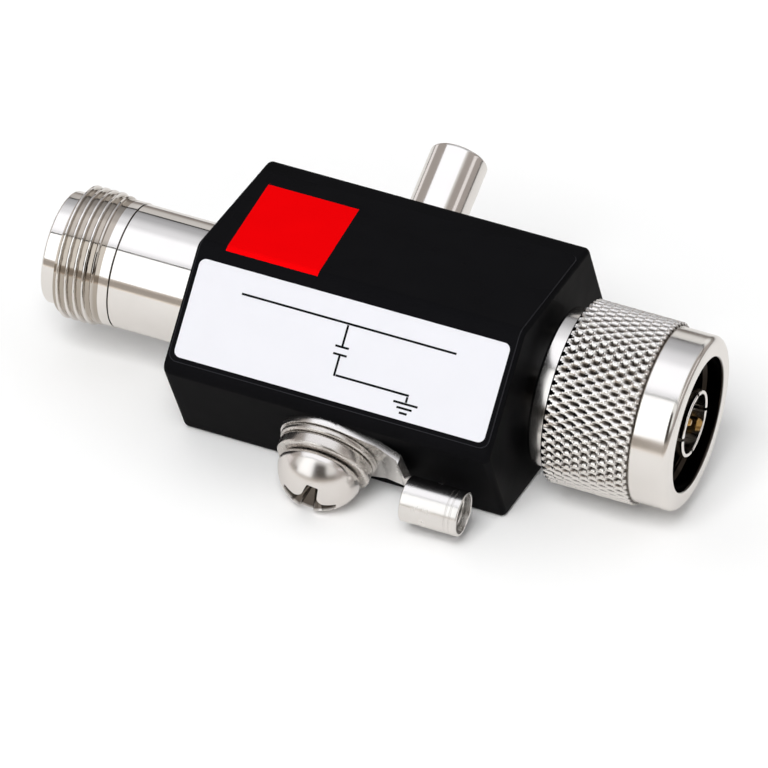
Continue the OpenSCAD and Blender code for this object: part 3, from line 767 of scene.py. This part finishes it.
sign = [
    sign_bar(-SIGN_LINE_HALF, SIGN_LINE_HALF, SIGN_LINE_DROP, SIGN_LINE_DROP),
    sign_bar(0, 0, SIGN_LINE_DROP + SIGN_BREAK, SIGN_TUBE_DROP - 0.5),
    *[sign_bar(-SIGN_PLATE_HALF, SIGN_PLATE_HALF, drop, drop)
      for drop in (SIGN_TUBE_DROP - SIGN_GAP_HALF, SIGN_TUBE_DROP + SIGN_GAP_HALF)],
    sign_bar(0, 0, SIGN_TUBE_DROP + 0.5, SIGN_EARTH_DROP),
    sign_bar(SIGN_BREAK, SIGN_EARTH_AT, SIGN_EARTH_DROP, SIGN_EARTH_DROP),
    sign_bar(SIGN_EARTH_AT, SIGN_EARTH_AT, SIGN_EARTH_DROP + SIGN_BREAK, SIGN_BARS[0][0] - SIGN_BREAK),
    *[sign_bar(SIGN_EARTH_AT - half, SIGN_EARTH_AT + half, drop, drop) for drop, half in SIGN_BARS],
]
for number, line in enumerate(sign):
    on_label(f"label_diagram_line_{number}", line, INK_TOP, FILM_T + 1.5 * INK_T, BLACK_INK)


# Jack

def jack_mesh():
    """The jack: tail, smooth barrel, thin groove, plain band, thread, plain rim and stepped bore."""
    groove_r = BARREL_R - GROOVE_DEPTH
    groove_start = BAND_START - GROOVE_SEEN_W
    outline = rounded([
        (-TAIL_LEN, LINE_BORE_D / 2, 0), (-TAIL_LEN, TAIL_D / 2, 0.3), (0, TAIL_D / 2, 0),
        (0, BARREL_R, 0.1), (groove_start, BARREL_R, 0.03), (groove_start, groove_r, 0),
        (BAND_START, groove_r, 0), (BAND_START, BAND_D / 2, 0.05), (THREAD_START, BAND_D / 2, 0),
        (THREAD_START + 0.02, THREAD_R, 0), (RIM_START - THREAD_BEVEL, THREAD_R, 0),
        (RIM_START, THREAD_R - THREAD_BEVEL, 0), (RIM_START, RIM_D / 2, 0),
        (JACK_LEN, RIM_D / 2, 0.25), (JACK_LEN, MOUTH_D / 2, 0.3),
        (JACK_LEN - MOUTH_DEPTH, MOUTH_D / 2, 0), (JACK_LEN - MOUTH_DEPTH, LINE_BORE_D / 2, 0),
    ])

    def cut(along, turn, radius):
        # The crests rise out of the band over two pitches
        valley = thread_depth(along, turn, THREAD_START, RIM_START, COUPLING_PITCH, 1.0, 0.001)
        rise = smooth_step((along - THREAD_START) / (2 * COUPLING_PITCH))
        depth = COUPLING_DEPTH * (1 - (1 - valley) * rise)
        outside = radius > RIM_D / 2 + 0.1
        on_thread = (along > THREAD_START - SAME) & (along < RIM_START + SAME) & outside
        return np.where(on_thread, np.maximum(radius - (THREAD_R - depth), 0), 0)

    return turned(dense(outline, THREAD_START, RIM_START, THREAD_ROW), AT_JACK, JACK_COLUMNS, cut=cut)


piece("jack_turned_shell", jack_mesh(), NICKEL_LINE, "housing", ["jack_shell"])


# Coupling nut

def nut_mesh():
    """The nut: collar, diamond knurl, plain front with a rounded edge, mouth and threaded bore."""
    root_r = KNURL_R - KNURL_DEPTH
    neck_r = NECK_D / 2 + RUN_GAP
    mouth_start = NUT_END - NUT_MOUTH_LEN
    collar_end = KNURL_START - 0.05
    # Eight rows and eight columns to a diamond put points on every ridge and every root
    rows = KNURL_STEPS * KNURL_ROWS
    band = []
    for k in range(rows + 1):
        along = KNURL_LEN * k / rows
        band.append((KNURL_START + along, min(KNURL_R, root_r + 2 * min(along, KNURL_LEN - along)), 0))
    bore_start = mouth_start - (NUT_MOUTH_D - NUT_BORE_D) / 2
    outline = dense(rounded([
        (NUT_GAP, neck_r, 0.2), (NUT_GAP, COLLAR_D / 2, 0.35), (collar_end, COLLAR_D / 2, 0.15),
        (collar_end, root_r - 0.3, 0), *band,
        (FRONT_START + 0.02, FRONT_D / 2 - 0.1, 0), (FRONT_START + 0.1, FRONT_D / 2, 0),
        (NUT_END, FRONT_D / 2, FRONT_R), (NUT_END, NUT_MOUTH_R, 0.3), (mouth_start, NUT_MOUTH_R, 0),
        (bore_start, NUT_BORE_D / 2, 0), (NUT_LIP_END, NUT_BORE_D / 2, 0), (NUT_LIP_END, neck_r, 0.2),
    ]), NUT_LIP_END, bore_start, COUPLING_PITCH / 6)

    def cut(along, turn, radius):
        across = KNURL_COUNT * turn / TAU
        down = KNURL_ROWS * (along - KNURL_START) / KNURL_LEN
        left = np.abs(2 * ((across + down) % 1) - 1)
        right = np.abs(2 * ((across - down) % 1) - 1)
        # Two sets of crossing ridges stand round sunken diamonds
        point = 1 - ((1 - left) * (1 - right)) ** RIDGE_POWER
        on_knurl = (along > KNURL_START - SAME) & (along < FRONT_START + SAME) & (radius > root_r - SAME)
        diamonds = np.where(on_knurl, np.maximum(radius - (root_r + KNURL_DEPTH * point), 0), 0)
        in_bore = (radius < NUT_BORE_D / 2 + SAME) & (along > NUT_LIP_END + SAME)
        thread_end = bore_start - 0.05
        thread = thread_depth(along, turn, NUT_LIP_END, thread_end, COUPLING_PITCH, COUPLING_DEPTH, 1.0)
        return diamonds - in_bore * thread

    return turned(outline, AT_PLUG, KNURL_STEPS * KNURL_COUNT, cut=cut)


piece("coupling_nut_knurled", nut_mesh(), NICKEL_NUT, "nut", ["coupling_nut"], sharp=24)


# Plug

def plug_mesh():
    """The plug's body: tail, neck with the ring's groove, and a spring sleeve cut by four slots."""
    groove_end = RING_START + RING_GROOVE_W
    neck_r = NECK_D / 2
    groove_r = neck_r - RING_GROOVE
    body = turned(rounded([
        (-TAIL_LEN, LINE_BORE_D / 2, 0), (-TAIL_LEN, TAIL_D / 2, 0.3), (0, TAIL_D / 2, 0), (0, neck_r, 0),
        (RING_START, neck_r, 0), (RING_START, groove_r, 0), (groove_end, groove_r, 0),
        (groove_end, neck_r, 0), (NECK_END, neck_r, 0.1), (NECK_END, SLEEVE_D / 2, 0),
        (SLEEVE_END, SLEEVE_D / 2, 0.2), (SLEEVE_END, LINE_BORE_D / 2, 0.15),
    ]), AT_PLUG)
    slots = []
    for turn in (0, 90):
        half, reach = SLOT_W / 2, SLEEVE_D
        cross = [(-reach, -half), (reach, -half), (reach, half), (-reach, half)]
        place = AT_PLUG @ Matrix.Rotation(math.radians(turn), 4, "Z")
        slots.append(prism(cross, SLEEVE_END - SLEEVE_SLOT_LEN, SLEEVE_END + 1, place))
    return combined(body, "DIFFERENCE", *slots)


piece("plug_spring_sleeve", plug_mesh(), NICKEL_LINE, "housing", ["plug_body"])
pin_shoulder = PIN_TIP - PIN_LEN
spigot_end = -TAIL_LEN - SPIGOT_LEN
pin = turned(rounded([
    (spigot_end, 0, 0), (spigot_end, SPIGOT_D / 2, 0), (-TAIL_LEN, SPIGOT_D / 2, 0),
    (-TAIL_LEN, CONTACT_D / 2, 0), (pin_shoulder, CONTACT_D / 2, 0.3), (pin_shoulder, PIN_D / 2, 0.1),
    (PIN_TIP - PIN_TAPER, PIN_D / 2, 0.3), (PIN_TIP, PIN_D / 5, 0.15), (PIN_TIP, 0, 0),
], closed=False), AT_PLUG, 64, closed=False)
piece("plug_pin_turned", pin, GOLD, "housing", ["plug_pin"])


# Gas tube cap

def cap_mesh():
    """The cap with its rounded end, and its hollow neck with a fine thread."""
    base = FACE_DIST + SEAT_GAP
    neck_start = base - CAP_NECK_LEN
    roof = base - CAP_ROOF_T
    end = base + CAP_HEIGHT
    neck_r = CAP_NECK_D / 2
    outline = rounded([
        (roof, 0, 0), (roof, CAP_CAVITY_D / 2, 0.2), (neck_start, CAP_CAVITY_D / 2, 0),
        (neck_start, neck_r, 0.3), (base, neck_r, 0), (base, CAP_D / 2, 0.15),
        (end, CAP_D / 2, CAP_EDGE_R), (end, 0, 0),
    ], closed=False)

    def cut(along, turn, radius):
        on_neck = (along > neck_start + 0.35) & (along < base - 0.01) & (radius > neck_r - 0.01)
        thread = thread_depth(along, turn, neck_start, base, CAP_PITCH, CAP_THREAD_DEPTH, CAP_RUN_OUT)
        return np.where(on_neck, thread, 0)

    return turned(dense(outline[:-1], neck_start, base, 0.07) + outline[-1:], AT_CAP, cut=cut, closed=False)


piece("tube_cap_turned", cap_mesh(), NICKEL_CAP, "cap", ["tube_cap"])


# Earth terminal

def quarter_turned(u, v, turns):
    """A point turned about the origin by quarter turns."""
    for _ in range(turns):
        u, v = -v, u
    return u, v


def screw_mesh():
    """Round head screw: a dome over a short rim, a tapered cross recess and a threaded shank."""
    top = HEAD_BASE + HEAD_H
    edge = math.asin(HEAD_D / 2 / DOME_R)
    steps = 32
    dome = [(top - DOME_R * (1 - math.cos(edge * k / steps)), DOME_R * math.sin(edge * k / steps))
            for k in range(steps, -1, -1)]
    tip = HEAD_BASE - SCREW_LEN
    thread_end = HEAD_BASE - SHANK_PLAIN
    shank_r = SCREW_D / 2
    outline = rounded([
        (tip, 0, 0), (tip, shank_r - SCREW_POINT, 0), (tip + SCREW_POINT, shank_r, 0),
        (HEAD_BASE, shank_r, 0), (HEAD_BASE, HEAD_D / 2, 0.9), dome[0] + (0,),
    ], closed=False) + dome[1:]

    def cut(along, turn, radius):
        shank = (radius > shank_r - SCREW_POINT - SAME) & (along < thread_end)
        thread = thread_depth(along, turn, tip, thread_end, SCREW_PITCH, SCREW_THREAD_DEPTH, 0.01)
        return shank * np.maximum(radius - (shank_r - thread), 0) * (thread > 0)

    rows = dense(outline[:-1], tip + SCREW_POINT, HEAD_BASE, 0.08) + outline[-1:]
    shaped = turned(rows, AT_SCREW, closed=False, cut=cut)
    half, arm = RECESS_SPAN / 2, RECESS_W / 2
    cross = rounded([corner for turn in range(4) for corner in [
        quarter_turned(half, -arm, turn) + (0.2,), quarter_turned(half, arm, turn) + (0.2,),
        quarter_turned(arm, arm, turn) + (0.9,)]])
    # The arms come out of the dome at the recess's span, and the taper goes on above it
    span_drop = DOME_R - math.sqrt(DOME_R ** 2 - half ** 2)
    shrink = RECESS_FLOOR / RECESS_SPAN
    rise = (RECESS_DEPTH + RECESS_OVER) / (RECESS_DEPTH - span_drop)
    grow = shrink + (1 - shrink) * rise
    wide = [(u * grow, v * grow) for u, v in cross]
    place = AT_SCREW @ Matrix.Rotation(RECESS_TURN, 4, "Z")
    recess = prism(wide, top + RECESS_OVER, top - RECESS_DEPTH, place, shrink / grow)
    return combined(shaped, "DIFFERENCE", recess, bevel=RECESS_EASE)


piece("ground_screw_round_head", screw_mesh(), SCREW_STEEL, "screw", ["ground_screw"])


def washer_ring(low, high, d, edge_r, hole_r):
    """A washer between two heights, with rounded edges outside and at its hole."""
    inner, outer = WASHER_HOLE_D / 2, d / 2
    return turned(rounded([(low, inner, hole_r), (low, outer, edge_r), (high, outer, edge_r),
                           (high, inner, hole_r)]), AT_SCREW)


flat_washer = washer_ring(FLAT_WASHER_BASE, SPRING_WASHER_BASE, FLAT_WASHER_D, 0.3, 0.1)
piece("flat_washer_stamped", flat_washer, WASHER_STEEL, "washers", ["flat_washer"])

spring_ring = washer_ring(SPRING_WASHER_BASE, SPRING_WASHER_TOP, SPRING_WASHER_D, 0.45, 0.15)
slit_half = SPRING_WASHER_SLIT / 2
slit_middle = Matrix.Translation((0, 0, SPRING_WASHER_BASE + SPRING_WASHER_T / 2))
slit_turn = Matrix.Rotation(SLIT_ANGLE, 4, "Z") @ Matrix.Rotation(SLIT_SLANT, 4, "X")
slit = prism([(0, -slit_half), (SPRING_WASHER_D, -slit_half), (SPRING_WASHER_D, slit_half), (0, slit_half)],
             -SPRING_WASHER_T, SPRING_WASHER_T, AT_SCREW @ slit_middle @ slit_turn)
spring_washer = combined(spring_ring, "DIFFERENCE", slit)
piece("spring_washer_split", spring_washer, WASHER_STEEL, "washers", ["spring_washer"])


def lug_meshes():
    """The lug's sheet, a flat ring with a tongue that lifts and a double bend, and its rolled barrel."""
    base = SEAT_GAP
    crimp_start = TONGUE_LEN + BEND_LEN
    crimp_end = crimp_start + CRIMP_LEN
    axis = base + CRIMP_LIFT + CRIMP_D / 2
    ring_r = LUG_RING_D / 2
    root_end = crimp_start + LUG_T
    root_lift = base + CRIMP_LIFT + ROOT_LIFT
    tongue_lift = base + TONGUE_LIFT
    tongue_bend = FLAT_WASHER_D / 2 + 0.5
    half_end = TONGUE_W / 2
    lean = math.asin((ring_r - half_end) / TONGUE_LEN)
    steps = 48
    sweep = [math.pi / 2 - lean + (math.pi + 2 * lean) * k / steps for k in range(steps + 1)]
    plan = [(ring_r * math.cos(a), ring_r * math.sin(a)) for a in sweep]
    plan += [(TONGUE_LEN, -half_end), (crimp_start, -ROOT_HALF), (root_end, -ROOT_HALF),
             (root_end, ROOT_HALF), (crimp_start, ROOT_HALF), (TONGUE_LEN, half_end)]
    blank = prism(plan, base - 1, axis, AT_SCREW)
    side = rounded([
        (-ring_r - 1, base, 0), (tongue_bend, base, 2.0), (TONGUE_LEN, tongue_lift, 0.9),
        (crimp_start, root_lift, 0.6), (root_end + 1, root_lift, 0), (root_end + 1, root_lift + LUG_T, 0),
        (crimp_start - LUG_T / 2, root_lift + LUG_T, 0.9), (TONGUE_LEN - LUG_T / 2, tongue_lift + LUG_T, 0.6),
        (tongue_bend, base + LUG_T, 2.0), (-ring_r - 1, base + LUG_T, 0)])
    strip = prism(side, -LUG_RING_D, LUG_RING_D, AT_SCREW @ Matrix.Rotation(math.pi / 2, 4, "X"))
    sheet = combined(blank, "INTERSECT", strip, bevel=0.1)
    barrel_place = AT_SCREW @ Matrix.Translation((0, 0, axis)) @ Matrix.Rotation(math.pi / 2, 4, "Y")
    outer, inner = BARREL_SEEN_D / 2, CRIMP_BORE_D / 2
    hole = round_bar(WASHER_HOLE_D, -1, 3, AT_SCREW)
    room = round_bar(inner + outer, TONGUE_LEN, crimp_end, barrel_place)
    sheet = combined(sheet, "DIFFERENCE", hole, room)
    corners = [(crimp_start, inner, 0.08), (crimp_start, outer, 0.12)]
    ring_floor = outer - BARREL_RING_DEPTH
    for back in BARREL_RINGS:
        at = crimp_end - back
        corners += [(at, outer, 0), (at + 0.06, ring_floor, 0), (at + 0.16, ring_floor, 0),
                    (at + 0.22, outer, 0)]
    step_at = crimp_end - BARREL_STEP_LEN
    corners += [(crimp_end, outer, 0.12), (crimp_end, inner + 0.3, 0.08), (step_at, inner + 0.25, 0),
                (step_at, inner, 0.05)]

    def cut(along, turn, radius):
        near = np.abs((turn - SEAM_TURN + math.pi) % TAU - math.pi) < SEAM_HALF
        return near * (radius > outer - 0.1) * (along > crimp_end - SEAM_LEN) * SEAM_DEPTH

    return sheet, turned(rounded(corners), barrel_place, BARREL_COLUMNS, cut=cut)


lug_sheet, lug_barrel = lug_meshes()
piece("ground_lug_sheet", lug_sheet, LUG_TIN, "lug", ["ground_lug"])
piece("ground_lug_barrel", lug_barrel, LUG_TIN, "lug")


# Pieces whose solids already have the right shape, dressed in their own materials

KEPT = {
    "plug_insulator": PTFE, "gasket": RUBBER, "retaining_ring": SPRING_STEEL,
    "jack_insulator": PTFE, "jack_contact": GOLD, "centre_conductor": SILVER,
    "tube_inner_electrode": COPPER, "tube_ceramic": CERAMIC, "tube_outer_electrode": COPPER,
    "contact_spring": SPRING_STEEL,
}
for name, material in KEPT.items():
    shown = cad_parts[name]
    shown.data.materials.clear()
    shown.data.materials.append(material)


# Studio, in metres: lamps light the scene, and bright metal mirrors cards that nothing else sees

FLOOR_HALF = 4.0
FLOOR_GLOW = 0.08
FAR_GLOW = 0.25
GLOW_NEAR = 0.05
GLOW_FAR = 0.12
GREY_NEAR = 0.15
GREY_FAR = 0.4
BOX_Z = 0.45
BOX_BACK = 0.66
BOX_FRONT = -0.30
BOX_LEFT = -0.42
BOX_RIGHT = 0.25
BOX_STOPS = [(BOX_FRONT, 0.95), (-0.2, 1.25), (0.03, 1.25), (0.14, 0.9), (0.4, 0.5), (BOX_BACK, 0.36)]
BAR_HALF = 0.7
BAR_Z = BOX_Z - 0.01
BAR_W = 0.02
PANEL_Y = -0.9
PANEL_LEFT = -0.9
PANEL_RIGHT = -0.06
PANEL_HIGH = 1.4
CAMERA_SIDE = 0.55
CAMERA_SIDE_HIGH = 0.75
STRIP_X = 0.9
STRIP_FRONT = -0.3
STRIP_BACK = 0.8
LEFT_STRIP_HIGH = 0.22
RIGHT_STRIP_LOW = 0.36
RIGHT_STRIP_HIGH = 0.56
TABLE_HALF = 0.25
TABLE_NEAR = -0.05
TABLE_LIFT = 0.0005
TABLE_STOPS = [(PANEL_Y, 1.0), (-0.35, 0.8), (-0.12, 0.5), (-0.065, 0.52), (TABLE_NEAR, 1.2)]
KEY_RISE = math.radians(46)
KEY_ASIDE = 0.05
KEY_DISTANCE = 1.0
KEY_SIZE = 0.45
KEY_RADIANCE = 13.5
TOP_WIDTH = 1.4
TOP_RADIANCE = 0.5
WORLD_FILL = 0.14
FRONT_LEAN = 0.6
BEHIND_LEAN = 0.25
SIDE_START = 0.4
SIDE_END = 0.65
LOW_START = 0.25
LOW_END = 0.08


def sheet_on(name, low, high, material, only_mirrored=True):
    """A flat sheet that belongs to the studio, between two opposite corners."""
    (x0, y0, z0), (x1, y1, z1) = low, high
    # A sheet across X is drawn along Y first, and any other sheet along X
    second, last = ((x0, y1, z0), (x0, y0, z1)) if x0 == x1 else ((x1, y0, z0), (x0, y1, z1))
    made = bpy.data.meshes.new(name)
    made.from_pydata([low, second, high, last], [], [[0, 1, 2, 3]])
    made.materials.append(material)
    holder = new_object(name, made)
    if only_mirrored:
        holder.visible_camera = False
        holder.visible_diffuse = False
        holder.visible_shadow = False


def white_floor():
    """White card that takes shadows. It glows a little, to the camera more so away from the part, and is
    grey far off in reflections.
    """
    made, tree, shader, place = surface("white_card", {"Roughness": 0.8, "Specular IOR Level": 0.0,
                                                       "Emission Color": (1, 1, 1, 1)})
    path = add(tree, "ShaderNodeLightPath").outputs
    away = vector_calc(tree, "LENGTH", vector_calc(tree, "MULTIPLY", place, (1, 0.6, 0)))
    far = ramp(tree, away, GREY_NEAR, GREY_FAR, shape="SMOOTHSTEP")
    mirrored = blend(tree, far, srgb("#e6e3e0"), srgb("#57514b"))
    tone = blend(tree, path["Is Glossy Ray"], srgb("#f6f6f6"), mirrored)
    tree.links.new(tone, shader.inputs["Base Color"])
    reach = vector_calc(tree, "LENGTH", place)
    glow = ramp(tree, reach, GLOW_NEAR, GLOW_FAR, FLOOR_GLOW, FLOOR_GLOW + FAR_GLOW, "SMOOTHSTEP")
    seen = calc(tree, "MULTIPLY", path["Is Camera Ray"], glow)
    glow = calc(tree, "MULTIPLY_ADD", path["Is Glossy Ray"], FLOOR_GLOW, seen)
    tree.links.new(glow, shader.inputs["Emission Strength"])
    return made


def glowing_card(name, colour, stops):
    """A card that glows: stops gives pairs of distance along Y and brightness, joined smoothly."""
    made = bpy.data.materials.new(name)
    made.use_nodes = True
    tree = made.node_tree
    tree.nodes.clear()
    place = add(tree, "ShaderNodeTexCoord").outputs["Object"]
    along = add(tree, "ShaderNodeSeparateXYZ", {0: place}).outputs["Y"]
    level = stops[0][1]
    for (start, low), (end, high) in zip(stops, stops[1:]):
        level = calc(tree, "ADD", level, ramp(tree, along, start, end, 0.0, high - low, "SMOOTHSTEP"))
    glow = add(tree, "ShaderNodeEmission", {"Color": srgb(colour), "Strength": level})
    add(tree, "ShaderNodeOutputMaterial", {"Surface": glow.outputs[0]})
    return made


def even_card(name, colour, level):
    """A card of one brightness."""
    return glowing_card(name, colour, [(0.0, level)])


def soft_light(name, middle, look, width, height, radiance):
    """A lamp of an even radiance, which the cards stand in for in reflections."""
    light = bpy.data.lights.new(name, "AREA")
    light.shape = "RECTANGLE"
    light.size = width
    light.size_y = height
    light.energy = radiance * math.pi * width * height
    holder = new_object(name, light)
    holder.location = middle
    holder.rotation_mode = "QUATERNION"
    holder.rotation_quaternion = Vector(look).to_track_quat("-Z", "Y")
    holder.visible_glossy = False


def studio_world():
    """White to the camera, a weak fill to matt surfaces, and a shaded room to mirrors: light ahead, dark low
    down and grey to the sides.
    """
    world = bpy.data.worlds.new("white_studio")
    world.use_nodes = True
    tree = world.node_tree
    backdrop = tree.nodes["Background"]
    path = add(tree, "ShaderNodeLightPath").outputs
    view = add(tree, "ShaderNodeTexCoord").outputs["Generated"]
    towards = add(tree, "ShaderNodeSeparateXYZ", {0: view}).outputs
    front = calc(tree, "MINIMUM", towards["Y"], 0.0)
    behind = calc(tree, "MAXIMUM", towards["Y"], 0.0)
    # A direction counts as sideways by its X, less so towards the front and more so behind
    sideways = calc(tree, "ABSOLUTE", towards["X"])
    sideways = calc(tree, "MULTIPLY_ADD", front, FRONT_LEAN, sideways)
    sideways = calc(tree, "MULTIPLY_ADD", behind, BEHIND_LEAN, sideways)
    sideways = ramp(tree, sideways, SIDE_START, SIDE_END, shape="SMOOTHSTEP")
    low = ramp(tree, towards["Z"], LOW_START, LOW_END, shape="SMOOTHSTEP")
    ahead = blend(tree, low, srgb("#f4f2ef"), srgb("#6b635c"))
    room = blend(tree, sideways, ahead, srgb("#aaa29d"))
    shade = blend(tree, path["Is Glossy Ray"], (1, 1, 1, 1), room)
    tree.links.new(shade, backdrop.inputs["Color"])
    seen = calc(tree, "MAXIMUM", path["Is Camera Ray"], path["Is Glossy Ray"])
    seen = calc(tree, "MAXIMUM", seen, path["Is Transmission Ray"])
    tree.links.new(ramp(tree, seen, 0.0, 1.0, WORLD_FILL, 1.0), backdrop.inputs["Strength"])
    return world


sheet_on("floor", (-FLOOR_HALF, -FLOOR_HALF, 0), (FLOOR_HALF, FLOOR_HALF, 0), white_floor(),
         only_mirrored=False)
sheet_on("soft_box_face", (BOX_LEFT, BOX_FRONT, BOX_Z), (BOX_RIGHT, BOX_BACK, BOX_Z),
         glowing_card("soft_box_face", "#fbfbff", BOX_STOPS))
BAR = even_card("black_bar", "#2b2724", 0.5)
sheet_on("soft_box_back_bar", (-BAR_HALF, BOX_BACK - BAR_W, BAR_Z),
         (BAR_HALF, BOX_BACK + 0.03, BOX_Z - 0.04), BAR)
sheet_on("soft_box_front_bar", (-BAR_HALF, BOX_FRONT, BAR_Z),
         (BAR_HALF, BOX_FRONT - BAR_W, BOX_Z - 0.02), BAR)
sheet_on("front_panel", (PANEL_LEFT, PANEL_Y, 0.0), (PANEL_RIGHT, PANEL_Y, PANEL_HIGH),
         even_card("front_panel", "#ffffff", 1.35))
sheet_on("camera_side", (PANEL_RIGHT, PANEL_Y, 0.0), (CAMERA_SIDE, PANEL_Y, CAMERA_SIDE_HIGH),
         even_card("camera_side", "#5b534d", 0.5))
STRIP = even_card("end_strip", "#f4eeec", 1.0)
sheet_on("left_strip", (-STRIP_X, STRIP_FRONT, 0.0), (-STRIP_X, STRIP_BACK, LEFT_STRIP_HIGH), STRIP)
sheet_on("right_strip", (STRIP_X, STRIP_FRONT, RIGHT_STRIP_LOW),
         (STRIP_X, STRIP_BACK, RIGHT_STRIP_HIGH), STRIP)
sheet_on("far_table", (-TABLE_HALF, PANEL_Y, TABLE_LIFT), (TABLE_HALF, TABLE_NEAR, TABLE_LIFT),
         glowing_card("far_table", "#e4d8cc", TABLE_STOPS))

key_way = Vector((KEY_ASIDE, -math.cos(KEY_RISE), math.sin(KEY_RISE)))
soft_light("key_lamp", key_way * KEY_DISTANCE, -key_way, KEY_SIZE, KEY_SIZE, KEY_RADIANCE)
soft_light("top_lamp", (0, (BOX_BACK + BOX_FRONT) / 2, BOX_Z), (0, 0, -1), TOP_WIDTH, BOX_BACK - BOX_FRONT,
           TOP_RADIANCE)
bpy.context.scene.world = studio_world()


# Camera, at the photograph's viewing angle

CAMERA_TURN = math.radians(19.29)
CAMERA_RISE = math.radians(32.08)
CAMERA_ROLL = math.radians(5.29)
CAMERA_AT = Vector((0.265, 0.0, 6.19)) * MM
CAMERA_DISTANCE = 957.56 * MM
CAMERA_LENS = 389.8

back = Vector((math.sin(CAMERA_TURN) * math.cos(CAMERA_RISE),
               -math.cos(CAMERA_TURN) * math.cos(CAMERA_RISE), math.sin(CAMERA_RISE)))
level_right = Vector((math.cos(CAMERA_TURN), math.sin(CAMERA_TURN), 0))
level_up = back.cross(level_right)
right = level_right * math.cos(CAMERA_ROLL) + level_up * math.sin(CAMERA_ROLL)
up = back.cross(right)
camera = new_object("camera", bpy.data.cameras.new("camera"))
camera.data.sensor_width = 36
camera.data.lens = CAMERA_LENS
camera.data.clip_start = 0.01
camera.data.clip_end = 20
camera_turn = Matrix((right, up, back)).transposed().to_4x4()
camera.matrix_world = Matrix.Translation(CAMERA_AT + back * CAMERA_DISTANCE) @ camera_turn
bpy.context.scene.camera = camera
bpy.context.scene.view_settings.view_transform = "Standard"
